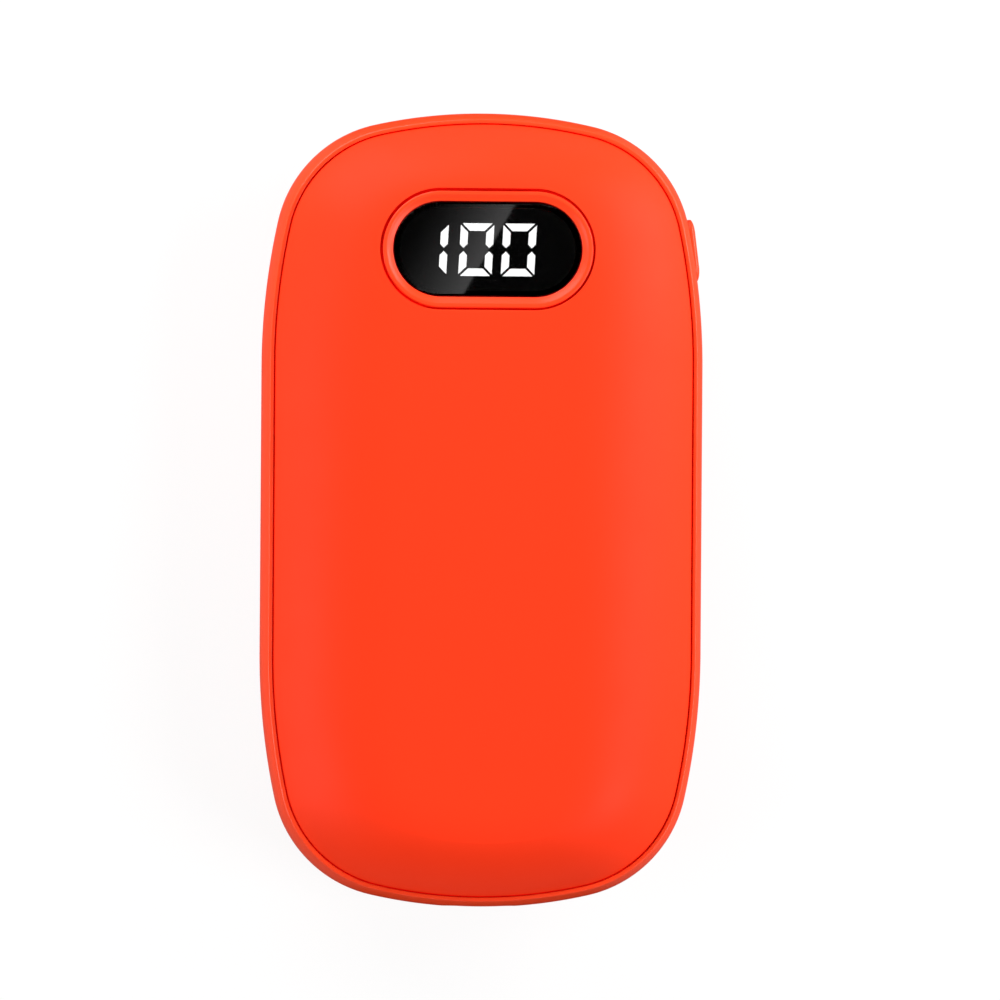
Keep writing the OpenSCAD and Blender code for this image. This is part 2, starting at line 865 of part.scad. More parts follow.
// One pouch cell lying on height z, with its two tabs at height tab_z
module cell(z, tab_z) {
    translate([0, cell_end, z + cell_t / 2]) rotate([90, 0, 0]) linear_extrude(cell_l)
        rounded(cell_w, cell_t, cell_edge_r);
    for (s = [-1, 1])
        translate([cell_board_x + s * tab_pitch - tab_w / 2, cell_end - over, tab_z])
            cube([tab_w, tab_l + over, tab_t]);
}

module cell_front() {
    color("#c9ccd2") cell(mid_z + tape_t / 2, mid_z + cell_board_t / 2 + seat);
}

module cell_rear() {
    color("#c9ccd2") cell(mid_z - tape_t / 2 - cell_t, mid_z - cell_board_t / 2 - seat - tab_t);
}

module cell_tape() {
    color("#e8e2c8") translate([0, cell_y, mid_z - tape_t / 2])
        block(cell_w - 2 * tape_margin, cell_l - 2 * tape_margin, tape_t);
}

module cell_board() {
    color(board_green) translate([cell_board_x, cell_board_y, mid_z - cell_board_t / 2])
        block(cell_board_w, cell_board_d, cell_board_t);
}

// Wire from the cell board up over the chassis and down onto the control board
module lead(x) {
    low = mid_z + cell_board_t / 2 + seat;
    high = board_top + seat;
    far = board_low + lead_in;
    translate([x, 0, 0]) {
        translate([0, cell_board_y, low]) cylinder(r = solder_r, h = solder_t);
        translate([0, cell_board_y, low]) cylinder(r = lead_r, h = lead_top - lead_bend - low);
        translate([0, cell_board_y + lead_bend, lead_top - lead_bend]) rotate([90, 0, 90])
            rotate_extrude(angle = 90, start = 90) translate([lead_bend, 0]) circle(lead_r);
        translate([0, far - lead_bend, lead_top]) rotate([90, 0, 0])
            cylinder(r = lead_r, h = far - cell_board_y - 2 * lead_bend);
        translate([0, far - lead_bend, lead_top - lead_bend]) rotate([90, 0, 90])
            rotate_extrude(angle = 90) translate([lead_bend, 0]) circle(lead_r);
        translate([0, far, high]) cylinder(r = lead_r, h = lead_top - lead_bend - high);
        translate([0, far, high]) cylinder(r = solder_r, h = solder_t);
    }
}

module lead_red() {
    color("#c8211c") lead(-lead_x);
}

module lead_black() {
    color("#1d1d20") lead(lead_pitch - lead_x);
}

module front_foam() {
    color("#55565a") difference() {
        translate([0, heater_y, foam_z])
            block(plate_w - 2 * foam_margin, plate_l - 2 * foam_margin, foam_t);
        translate([0, heater_y + plate_l / 2, foam_z + foam_t - 2 * bead_r - slack])
            block(pocket_w, 2 * pocket_l, foam_t);
    }
}

module rear_foam() {
    color("#55565a") rear_half() translate([0, heater_y, foam_z])
        block(plate_w - 2 * foam_margin, plate_l - 2 * foam_margin, foam_t);
}

// Heater film whose tail bends to a face of the control board at height foot_z
module heater(foot_z) {
    film_end = heater_y + film_l / 2;
    low = min(foot_z, film_z);
    high = max(foot_z, film_z) + film_t;
    translate([0, heater_y, film_z]) block(film_w, film_l, film_t);
    translate([tail_x - tail_w / 2, film_end - over, film_z])
        cube([tail_w, tail_y - film_end + over, film_t]);
    translate([tail_x - tail_w / 2, tail_y - film_t, low]) cube([tail_w, film_t, high - low]);
    translate([tail_x - tail_w / 2, tail_y - film_t, foot_z])
        cube([tail_w, board_low + tail_land - tail_y + film_t, film_t]);
}

module front_heater() {
    color("#b9741f") heater(board_top + seat);
}

module rear_heater() {
    color("#b9741f") rear_half() heater(body_t - board_z + seat);
}

module heat_plate() {
    translate([0, heater_y, film_z + film_t]) linear_extrude(plate_t)
        rounded(plate_w, plate_l, plate_corner_r);
}

module front_plate() {
    color("#d4d6d9") heat_plate();
}

module rear_plate() {
    color("#d4d6d9") rear_half() heat_plate();
}

module thermal_pad() {
    translate([0, heater_y, ceiling_z - pad_t]) block(pad_w, pad_l, pad_t);
}

module front_thermal_pad() {
    color("#8fa3b8") thermal_pad();
}

module rear_thermal_pad() {
    color("#8fa3b8") rear_half() thermal_pad();
}

module thermistor() {
    end = heater_y + plate_l / 2 - pocket_l + slack + bead_l;
    color("#20242c") translate([0, end, film_z - seat - bead_r]) rotate([90, 0, 0]) {
        cylinder(r = bead_r, h = bead_l);
        for (s = [-1, 1]) translate([s * leg_pitch / 2, 0, -leg_l])
            cylinder(r = leg_r, h = leg_l + leg_r);
    }
}

module charge_board() {
    color(board_green) difference() {
        translate([0, charge_edge + charge_l / 2, charge_z]) linear_extrude(board_t)
            rounded(charge_w, charge_l, charge_corner_r);
        at_charge_posts() translate([0, 0, charge_z - over])
            cylinder(r = board_screw_r + gap, h = board_t + 2 * over);
    }
}

module charge_chips() {
    middle = charge_edge + charge_l / 2;
    color("#26262b") {
        for (share = charge_chip_shares)
            translate(on_board(share, charge_w, charge_l, middle) + [0, 0, charge_z + board_t])
                block(chip_w, chip_w, chip_t);
        for (share = charge_cap_shares)
            translate(on_board(share, charge_w, charge_l, middle) + [0, 0, charge_z + board_t])
                block(cap_w, cap_l, cap_t);
    }
}

module socket_shell() {
    color(steel_colour) end_prism(mouth_in + socket_l, mouth_in) difference() {
        pill(socket_w, socket_h);
        pill(socket_w - 2 * shell_t, socket_h - 2 * shell_t);
    }
}

module socket_tongue() {
    back = mouth_in + socket_l;
    color(plastic_black) {
        end_prism(back, back - tongue_root)
            pill(socket_w - 2 * shell_t - 2 * seat, socket_h - 2 * shell_t - 2 * seat);
        end_prism(back - tongue_root / 2, back - tongue_root - tongue_plate_l)
            square([tongue_plate_w, tongue_plate_t], center = true);
    }
}

// Quarter turn of the ribbon about its bend's centre, in one quadrant of the plan
module ribbon_turn(quadrant) {
    rotate(90 * quadrant) intersection() {
        difference() {
            circle(ribbon_bend + ribbon_t / 2);
            circle(ribbon_bend - ribbon_t / 2);
        }
        square(2 * ribbon_bend);
    }
}

module link_ribbon() {
    low = charge_edge + charge_l - ribbon_in;
    high = board_low + ribbon_in;
    bend_x = ribbon_bend - ribbon_x;
    color("#d9dadd") translate([0, 0, ribbon_z]) linear_extrude(ribbon_h) {
        translate([-ribbon_x - ribbon_t / 2, low + ribbon_bend])
            square([ribbon_t, high - low - 2 * ribbon_bend]);
        translate([bend_x, high - ribbon_bend]) ribbon_turn(1);
        translate([bend_x, low + ribbon_bend]) ribbon_turn(2);
        translate([bend_x, high - ribbon_t / 2]) square([ribbon_in - board_half - bend_x, ribbon_t]);
        translate([bend_x, low - ribbon_t / 2]) square([ribbon_in - charge_w / 2 - bend_x, ribbon_t]);
    }
}

front_cover();
mid_frame();
rear_cover();
display_bezel();
display_lens();
lens_tape();
display_housing();
lit_segments();
unlit_segments();
button_cap();
switch_body();
switch_stem();
control_board();
control_chips();
power_inductor();
board_screws();
chassis();
chassis_screws();
cell_front();
cell_rear();
cell_tape();
cell_board();
lead_red();
lead_black();
front_foam();
rear_foam();
front_heater();
rear_heater();
front_plate();
rear_plate();
front_thermal_pad();
rear_thermal_pad();
thermistor();
charge_board();
charge_chips();
socket_shell();
socket_tongue();
link_ribbon();
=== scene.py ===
import math

import bmesh
import bpy
import numpy as np
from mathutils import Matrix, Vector


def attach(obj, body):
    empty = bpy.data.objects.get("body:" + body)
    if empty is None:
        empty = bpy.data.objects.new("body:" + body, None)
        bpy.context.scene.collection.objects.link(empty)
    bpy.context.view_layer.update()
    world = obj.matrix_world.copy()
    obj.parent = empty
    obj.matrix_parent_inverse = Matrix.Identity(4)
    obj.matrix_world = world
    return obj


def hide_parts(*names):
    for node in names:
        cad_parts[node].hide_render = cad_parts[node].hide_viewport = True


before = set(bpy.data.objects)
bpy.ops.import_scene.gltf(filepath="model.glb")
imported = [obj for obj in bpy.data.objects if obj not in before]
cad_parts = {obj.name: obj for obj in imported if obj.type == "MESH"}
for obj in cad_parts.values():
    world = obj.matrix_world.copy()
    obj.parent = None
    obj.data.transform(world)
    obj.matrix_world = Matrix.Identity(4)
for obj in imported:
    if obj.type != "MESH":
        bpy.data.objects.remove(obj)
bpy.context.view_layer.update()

mm = 0.001
print("frame loaded")

# The body that every piece follows, in millimetres and degrees as in the construction
body = {
    "width": 61.2,
    "length": 110.0,
    "thickness": 26.0,
    "bandHeight": 11.0,
    "cornerRadius": 17.6,
    "shoulderRadius": 95.0,
    "shoulderTurn": 12.2,
    "cornerTurn": 77.2,
    "columns": 560,  # points round the outline, a multiple of four
}
halfWidth, halfLength = body["width"] / 2, body["length"] / 2
midHeight = body["thickness"] / 2
frontEdge = midHeight + body["bandHeight"] / 2
shoulderTurn, cornerTurn = math.radians(body["shoulderTurn"]), math.radians(body["cornerTurn"])


# Radii and centres of one quarter of the outline, for half sizes a and b
def outlineArcs(a, b):
    shoulder = body["shoulderRadius"] * a / halfWidth
    corner = body["cornerRadius"] * a / halfWidth
    end = (a - shoulder * (1 - math.cos(shoulderTurn))
           - corner * (math.cos(shoulderTurn) - math.cos(cornerTurn))) / math.cos(cornerTurn)
    straight = (b - shoulder * math.sin(shoulderTurn)
                - corner * (math.sin(cornerTurn) - math.sin(shoulderTurn))
                - end * (1 - math.sin(cornerTurn)))
    shoulderX, shoulderY = a - shoulder, straight
    cornerX = shoulderX + (shoulder - corner) * math.cos(shoulderTurn)
    cornerY = shoulderY + (shoulder - corner) * math.sin(shoulderTurn)
    return shoulder, corner, end, straight, shoulderX, shoulderY, cornerX, cornerY, b - end


widest = outlineArcs(halfWidth, halfLength)
stretches = [widest[3], widest[0] * shoulderTurn, widest[1] * (cornerTurn - shoulderTurn),
             widest[2] * (math.pi / 2 - cornerTurn)]
quarterLength = sum(stretches)


# Points of the outline of half sizes a and b, at distances u round the widest outline from +X towards +Y
def outlinePoints(u, a, b):
    shoulder, corner, end, straight, shoulderX, shoulderY, cornerX, cornerY, endY = outlineArcs(a, b)
    u = np.mod(u, 4 * quarterLength)
    quarter = np.floor(u / quarterLength).astype(int) % 4
    along = u - quarter * quarterLength
    along = np.where(quarter % 2 == 1, quarterLength - along, along)
    marks = np.cumsum([0] + stretches)
    share = [np.clip((along - marks[k]) / stretches[k], 0, 1) for k in range(4)]
    turnShoulder = share[1] * shoulderTurn
    turnCorner = shoulderTurn + share[2] * (cornerTurn - shoulderTurn)
    turnEnd = cornerTurn + share[3] * (math.pi / 2 - cornerTurn)
    onWhich = [along <= marks[1], along <= marks[2], along <= marks[3]]
    x = np.select(onWhich, [a + 0 * along, shoulderX + shoulder * np.cos(turnShoulder),
                            cornerX + corner * np.cos(turnCorner)], end * np.cos(turnEnd))
    y = np.select(onWhich, [share[0] * straight, shoulderY + shoulder * np.sin(turnShoulder),
                            cornerY + corner * np.sin(turnCorner)], endY + end * np.sin(turnEnd))
    x = np.where((quarter == 1) | (quarter == 2), -x, x)
    y = np.where(quarter >= 2, -y, y)
    return np.stack([x, y], axis=1)


# How far points lie outside the outline of half sizes a and b, which may differ from point to point
def outsideBy(x, y, a, b):
    x, y = np.abs(x), np.abs(y)
    shoulder, corner, end, straight, shoulderX, shoulderY, cornerX, cornerY, endY = outlineArcs(a, b)
    atShoulder = np.arctan2(y - shoulderY, x - shoulderX) <= shoulderTurn
    atCorner = np.arctan2(y - cornerY, x - cornerX) <= cornerTurn
    return np.select(
        [y <= straight, atShoulder, atCorner],
        [x - a, np.hypot(x - shoulderX, y - shoulderY) - shoulder,
         np.hypot(x - cornerX, y - cornerY) - corner],
        np.hypot(x, y - endY) - end)


columns = np.arange(body["columns"]) * 4 * quarterLength / body["columns"]


# Ring of points round the outline, set in from the widest line and lifted to a height
def bodyRing(inX, inY, z):
    flat = outlinePoints(columns, halfWidth - inX, halfLength - inY)
    return np.column_stack([flat, np.full(len(flat), z)])


# Stack of such rings, from rows of the distance in, the height and the radius of the edge there
def ringStack(rows):
    return [(bodyRing(inset, inset, z), radius) for inset, z, radius in rows]


# Small rounded edges of the mouldings
easing = {
    "steps": 4,
    "longest": 0.45,  # most of the way to the next ring that a rounded edge may take
    "support": 1.7,  # distance of the ring that holds the edge's shading, in radii
    "supportRoom": 2.5,  # room that such a ring needs, in radii
}
insideEdge = 0.1  # radius of the edges that are hidden while the case is closed


# Turns the marked corners of a stack of rings into rounded edges with a supporting ring on each side
def easedRings(stack, closed=False):
    longest, support, supportRoom = easing["longest"], easing["support"], easing["supportRoom"]
    rings = []
    for i, (ring, radius) in enumerate(stack):
        if not radius or (not closed and i in (0, len(stack) - 1)):
            rings.append(ring)
            continue
        before = stack[i - 1][0] - ring
        after = stack[(i + 1) % len(stack)][0] - ring
        roomBefore = np.linalg.norm(before, axis=1, keepdims=True)
        roomAfter = np.linalg.norm(after, axis=1, keepdims=True)
        start = ring + before / roomBefore * np.minimum(radius, longest * roomBefore)
        end = ring + after / roomAfter * np.minimum(radius, longest * roomAfter)
        if roomBefore.min() > supportRoom * radius:
            rings.append(ring + before / roomBefore * radius * support)
        for t in np.linspace(0, 1, easing["steps"] + 1):
            rings.append((1 - t) ** 2 * start + 2 * t * (1 - t) * ring + t ** 2 * end)
        if roomAfter.min() > supportRoom * radius:
            rings.append(ring + after / roomAfter * radius * support)
    return rings


# Faces between neighbouring rings of n points, the first of which starts at point number start
def ringFaces(start, ringCount, n, closed=False, keep=None):
    faces = []
    for i in range(ringCount if closed else ringCount - 1):
        low, high = start + i * n, start + (i + 1) % ringCount * n
        for j in range(n):
            if keep is None or keep(i, j):
                k = (j + 1) % n
                faces.append((low + j, low + k, high + k, high + j))
    return faces


joinWithin = 0.002  # points of a piece this close together become one
tooShort = 0.0004  # edges shorter than this go


# Mesh object from points in millimetres, with coinciding points joined and its normals turned outwards
def newPiece(name, points, faces, sharpAngle=40):
    mesh = bpy.data.meshes.new(name)
    mesh.from_pydata([tuple(p) for p in np.asarray(points) * mm], [], faces)
    bm = bmesh.new()
    bm.from_mesh(mesh)
    bmesh.ops.remove_doubles(bm, verts=bm.verts, dist=joinWithin * mm)
    bmesh.ops.dissolve_degenerate(bm, edges=bm.edges, dist=tooShort * mm)
    bmesh.ops.delete(bm, geom=[v for v in bm.verts if not v.link_faces], context="VERTS")
    bmesh.ops.recalc_face_normals(bm, faces=bm.faces)
    bm.to_mesh(mesh)
    bm.free()
    mesh.shade_smooth()
    mesh.set_sharp_from_angle(angle=math.radians(sharpAngle))
    piece = bpy.data.objects.new(name, mesh)
    bpy.context.scene.collection.objects.link(piece)
    return piece


# Piece swept through a stack of rings. An open stack closes where its first and last rings shrink to a line.
def sweptPiece(name, rings, closed=False):
    n = len(rings[0])
    return newPiece(name, np.concatenate(rings), ringFaces(0, len(rings), n, closed))


# Colour written as in an image editor, as the linear values that a shader takes
def linear(colour):
    parts = [int(colour[i:i + 2], 16) / 255 for i in (1, 3, 5)]
    return tuple(c / 12.92 if c <= 0.04045 else ((c + 0.055) / 1.055) ** 2.4 for c in parts) + (1.0,)


# Adds a node, sets its properties and inputs by name or number, and links other nodes' outputs to its inputs
def addNode(tree, kind, settings=None, links=None):
    node = tree.nodes.new(kind)
    for name, value in (settings or {}).items():
        if isinstance(name, int) or name in node.inputs:
            node.inputs[name].default_value = value
        else:
            setattr(node, name, value)
    for name, source in (links or {}).items():
        tree.links.new(source, node.inputs[name])
    return node


def newMaterial(name):
    material = bpy.data.materials.new(name)
    material.use_nodes = True
    material.node_tree.nodes.clear()
    return material, material.node_tree


# A finish from one dictionary: two shades mottled together, a roughness that wanders with them, and a surface
# grain. A painted shade for a groove is given as a deeper colour, the middle of its height band and half its
# depth.
def finish(name, look):
    material, tree = newMaterial(name)
    place = addNode(tree, "ShaderNodeTexCoord").outputs["Object"]
    stretch = [s / mm for s in look.get("stretch", (1, 1, 1))]
    inMillimetres = addNode(tree, "ShaderNodeMapping", {"Scale": stretch}, {"Vector": place}).outputs[0]
    mottle = addNode(tree, "ShaderNodeTexNoise",
                     {"Scale": 1 / look["mottleSize"], "Detail": 3.0, "Roughness": 0.55},
                     {"Vector": inMillimetres}).outputs[0]
    shades = addNode(tree, "ShaderNodeMix",
                     {"data_type": "RGBA", 6: linear(look["colour"]), 7: linear(look["shade"])},
                     {0: mottle}).outputs[2]
    # Painted shade: within that band of heights the colour turns to the deeper red of a shadowed groove
    if "gap" in look:
        gapColour, middle, half = look["gap"]
        height = addNode(tree, "ShaderNodeSeparateXYZ", None, {0: inMillimetres}).outputs["Z"]
        within = addNode(tree, "ShaderNodeMath", {"operation": "COMPARE", 1: middle, 2: half},
                         {0: height}).outputs[0]
        shades = addNode(tree, "ShaderNodeMix", {"data_type": "RGBA", 7: linear(gapColour)},
                         {0: within, 6: shades}).outputs[2]
    rough = addNode(tree, "ShaderNodeMapRange", {"From Min": 0.3, "From Max": 0.7,
                                                 "To Min": look["roughness"] - look["wander"],
                                                 "To Max": look["roughness"] + look["wander"]},
                    {"Value": mottle}).outputs[0]
    grain = addNode(tree, "ShaderNodeTexNoise",
                    {"Scale": 1 / look["grainSize"], "Detail": 2.0, "Roughness": 0.6},
                    {"Vector": inMillimetres}).outputs[0]
    bump = addNode(tree, "ShaderNodeBump",
                   {"Strength": look["grain"], "Distance": look["grainDepth"] * mm},
                   {"Height": grain}).outputs[0]
    surface = addNode(tree, "ShaderNodeBsdfPrincipled",
                      {"Metallic": look.get("metallic", 0.0), "IOR": look.get("ior", 1.5),
                       "Sheen Weight": look.get("sheen", 0.0), "Sheen Roughness": 0.5,
                       "Coat Weight": look.get("coat", 0.0), "Coat Roughness": 0.1,
                       "Specular IOR Level": look.get("specular", 0.5)},
                      {"Base Color": shades, "Roughness": rough, "Normal": bump}).outputs[0]
    addNode(tree, "ShaderNodeOutputMaterial", None, {"Surface": surface})
    return material


# ABS moulding under a soft-touch polyurethane paint: even, matt and velvety, with hardly any gloss. The grain
# of the paint is 0.05 mm and is drawn at 0.3 mm, as coarse as it needs to show.
softTouchPaint = finish("soft_touch_painted_abs", {
    "colour": "#FF3A18", "shade": "#FD3817", "mottleSize": 9.0, "roughness": 0.5, "wander": 0.03,
    # The deeper red in the groove between cover and frame is painted shade
    "grainSize": 0.3, "grain": 0.12, "grainDepth": 0.02, "specular": 0.08, "gap": ("#F20A00", 13.0, 5.46),
})

# The same ABS, painted satin on the frame: a little glossier, so that its rounded rims catch a line of light
satinPaint = finish("satin_painted_abs", {
    "colour": "#FF461D", "shade": "#FD431B", "mottleSize": 7.0, "roughness": 0.31, "wander": 0.02,
    "grainSize": 0.3, "grain": 0.06, "grainDepth": 0.012, "specular": 0.4,
})

# Satin moulded ABS of the ring round the display: smooth, with a soft gleam in its hollow
satinRing = finish("satin_moulded_abs", {
    "colour": "#FF421D", "shade": "#FD401B", "mottleSize": 3.0, "roughness": 0.34, "wander": 0.03,
    # The deeper red in the groove round the ring is painted shade
    "grainSize": 0.25, "grain": 0.05, "grainDepth": 0.01, "specular": 0.22, "gap": ("#F20A00", 22.0, 3.3),
})
print("paints made")

# Covers: domed shells, level in the middle, with a tongue that enters the frame
cover = {
    "wall": 1.5,
    "sideRun": 17.0,
    "endRun": 11.0,
    "domePower": 2.4,
    "groove": 0.2,
    "tongueIn": 2.5,
    "tongue": 1.0,
    "tongueTip": 3.0,  # height above the middle of the body
    "rebate": 4.4,
    "edgeRadius": 0.22,
    "grooveDepth": 0.36,
    "foot": 0.005,  # gap between the foot of a cover's edge and the frame
    "footFall": 0.04,
    "grooveEdge": 0.06,
    "footEdge": 0.04,
    "tipEdge": 0.15,
    "domeRings": 40,
    "innerRings": 16,
}

# Section of the side frame, in which the covers sit
section = {
    "rimRadius": 0.75,
    "sideLean": 20.0,
    "wall": 2.4,
    "rebate": 4.3,
    "crestIn": 1.09,  # the rim's highest line, as distance in from the widest line
    "crestRadius": 0.15,
    "landFall": 0.05,
    "landEdge": 0.08,
}
lean = math.radians(section["sideLean"])
rimHeight = body["bandHeight"] / 2 - section["rimRadius"] * (1 - math.sin(lean))
bulgeRadius = rimHeight / math.sin(lean)
rimIn = bulgeRadius * (1 - math.cos(lean)) + section["rimRadius"] * math.cos(lean)
coverIn = rimIn + cover["groove"]
domeHeight = body["thickness"] - frontEdge
cavityIn = cover["tongueIn"] + cover["tongue"]


# Rings of a cover's outer and inner faces; s runs from 0 where it is level to 1 at its edge
def outerRing(s):
    z = frontEdge + domeHeight * (1 - s ** cover["domePower"])
    return bodyRing(coverIn + cover["sideRun"] * (1 - s), coverIn + cover["endRun"] * (1 - s), z)


def innerRing(s):
    z = frontEdge + (domeHeight - cover["wall"]) * (1 - s ** cover["domePower"])
    return bodyRing(cavityIn + (coverIn + cover["sideRun"] - cavityIn) * (1 - s),
                    cavityIn + (coverIn + cover["endRun"] - cavityIn) * (1 - s), z)


halvings = 34


# Height of the outer face at points of the plan, by halving the range of s until its ring meets each of them
def domeAt(flat):
    low, high = np.zeros(len(flat)), np.ones(len(flat))
    for _ in range(halvings):
        s = (low + high) / 2
        a = halfWidth - coverIn - cover["sideRun"] * (1 - s)
        b = halfLength - coverIn - cover["endRun"] * (1 - s)
        beyond = outsideBy(flat[:, 0], flat[:, 1], a, b) > 0
        low, high = np.where(beyond, s, low), np.where(beyond, high, s)
    return frontEdge + domeHeight * (1 - low ** cover["domePower"])


# From the dome's edge down the wall, in to the tongue, round it, and up to the edge of the inner face
def coverSkirt():
    rebate, tip = midHeight + cover["rebate"], midHeight + cover["tongueTip"]
    foot, tongueIn = rimIn + cover["foot"], cover["tongueIn"]
    grooveBottom = frontEdge - cover["grooveDepth"]
    return [(outerRing(1.0), cover["edgeRadius"])] + ringStack([
        (coverIn, grooveBottom, cover["grooveEdge"]),
        (foot, grooveBottom - cover["footFall"], cover["footEdge"]),
        (foot, rebate, insideEdge),
        (tongueIn, rebate, 0),
        (tongueIn, tip, cover["tipEdge"]),
        (cavityIn, tip, cover["tipEdge"]),
    ])


# Display window in the front cover, and the ring and lens that fill it
window = {
    "centreY": 35.8,
    "half": 6.45,  # from the centre to the middle of each round end
    "radius": 8.35,
    "edge": 0.16,
    "innerEdge": 0.08,
    "starRings": 34,
    "starSpread": 1.15,  # power that crowds those rings towards the window
    "starShare": 0.3,  # the dome ring at which the rays from the window end
    "innerRings": 8,
}


# Point of a pill shape in the direction of each offset from its centre
def pillCrossing(offsets, half, radius):
    rays = offsets / np.linalg.norm(offsets, axis=1, keepdims=True)
    reach = radius / np.maximum(np.abs(rays[:, 1]), 1e-9)
    along = rays[:, 0] * half * np.sign(rays[:, 0])
    reachEnd = along + np.sqrt(np.maximum(along ** 2 - half ** 2 + radius ** 2, 0))
    return rays * np.where(np.abs(reach * rays[:, 0]) <= half, reach, reachEnd)[:, None]


# Where rays from the window's centre towards the targets cross its edge
def windowCrossing(targets):
    centre = np.array([0, window["centreY"]])
    return pillCrossing(targets - centre, window["half"], window["radius"]) + centre


def frontCoverRings():
    share = window["starShare"]
    ceiling = body["thickness"] - cover["wall"]
    target = outerRing(share)[:, :2]
    hole = windowCrossing(target)
    top = np.column_stack([hole, domeAt(hole)])
    under = np.column_stack([hole, np.full(len(hole), ceiling)])
    stack = [(under, window["innerEdge"]), (top, window["edge"])]
    for t in np.linspace(0, 1, window["starRings"] + 1)[1:-1]:
        flat = hole + (target - hole) * t ** window["starSpread"]
        stack.append((np.column_stack([flat, domeAt(flat)]), 0))
    for s in np.linspace(share, 1, cover["domeRings"])[:-1]:
        stack.append((outerRing(s), 0))
    stack += coverSkirt()
    for s in np.linspace(1, share, cover["innerRings"]):
        stack.append((innerRing(s), 0))
    inside = innerRing(share)
    inner = windowCrossing(inside[:, :2])
    for t in np.linspace(0, 1, window["innerRings"])[1:-1]:
        flat = inside[:, :2] + (inner - inside[:, :2]) * t
        lift = inside[:, 2] + (ceiling - inside[:, 2]) * min(1, 3 * t)  # level from a third of the way on
        stack.append((np.column_stack([flat, lift]), 0))
    return easedRings(stack, closed=True)


frontCover = sweptPiece("front_cover_shell", frontCoverRings(), closed=True)
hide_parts("front_cover")


# The rear cover has no window, so it is level in the middle, where its rings shrink to a line
rearRings = {"level": 10, "dome": 52, "inner": 20, "innerLevel": 8}


def levelRing(t, z):
    levelX, levelY = halfWidth - coverIn - cover["sideRun"], halfLength - coverIn - cover["endRun"]
    return bodyRing(halfWidth - levelX * (1 - t), halfLength - levelY + levelX * t, z)


def rearCoverRings():
    top = body["thickness"]
    stack = [(levelRing(t, top), 0) for t in np.linspace(1, 0, rearRings["level"])[:-1]]
    stack += [(outerRing(s), 0) for s in np.linspace(0, 1, rearRings["dome"])[:-1]]
    stack += coverSkirt()
    stack += [(innerRing(s), 0) for s in np.linspace(1, 0, rearRings["inner"])]
    stack += [(levelRing(t, top - cover["wall"]), 0) for t in np.linspace(0, 1, rearRings["innerLevel"])[1:]]
    return [ring * [1, 1, -1] + [0, 0, top] for ring in easedRings(stack)]


rearCover = sweptPiece("rear_cover_shell", rearCoverRings())
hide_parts("rear_cover")
for piece in (frontCover, rearCover):
    piece.data.materials.append(softTouchPaint)
    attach(piece, "case")
print("covers made")

# Side frame: a bulged band with rounded rims, cut through for the button and for the charging socket
sideCuts = {
    "button": {"at": stretches[0] + body["shoulderRadius"] * math.radians(10), "half": 2.3, "radius": 2.1,
               "edge": 0.18, "reach": 6.0},
    "socket": {"at": 3 * quarterLength, "half": 2.87, "radius": 1.75, "flare": 0.6, "flareDepth": 0.5,
               "flareEdge": 0.12, "edge": 0.2, "reach": 7.4},
    "rows": 20,
    "rowHalf": 3.4,  # rows of the side that lie within this of its middle can be opened
    "easeRings": 8,  # rings between the border of an opened field and its slot
    "innerRings": 6,
}
rowHeights = np.linspace(-sideCuts["rowHalf"], sideCuts["rowHalf"], sideCuts["rows"] + 1)


# How far in from the widest line the bulged side lies, at height z from the middle
def bulgeInset(z):
    return bulgeRadius - np.sqrt(bulgeRadius ** 2 - z ** 2)


# Rings of the frame's section, from the lower rim up the outside, over the upper rim and down the inside
def frameStack():
    between = (rimHeight + sideCuts["rowHalf"]) / 2
    heights = np.concatenate([[-rimHeight, -between], rowHeights, [between, rimHeight]])
    outside = [(bulgeInset(z), z, 0) for z in heights]
    top, rebate, wall = body["bandHeight"] / 2, section["rebate"], section["wall"]
    upper = [(section["crestIn"], top, section["crestRadius"]),
             (rimIn, top - section["landFall"], section["landEdge"]),
             (rimIn, rebate, insideEdge), (wall, rebate, insideEdge)]
    inside = [(wall, z, 0) for z in rowHeights[::-1]]
    lower = [(inset, -z, radius) for inset, z, radius in upper[::-1]]
    return ringStack((inset, midHeight + z, radius) for inset, z, radius in outside + upper + inside + lower)


# Points on the outside of the frame, or on a wall further in, at distances u round the outline and heights z
def sidePoints(u, z, inset=None):
    insets = bulgeInset(z) if inset is None else np.full(len(u), inset)
    return np.column_stack([outlinePoints(u, halfWidth - insets, halfLength - insets), midHeight + z])


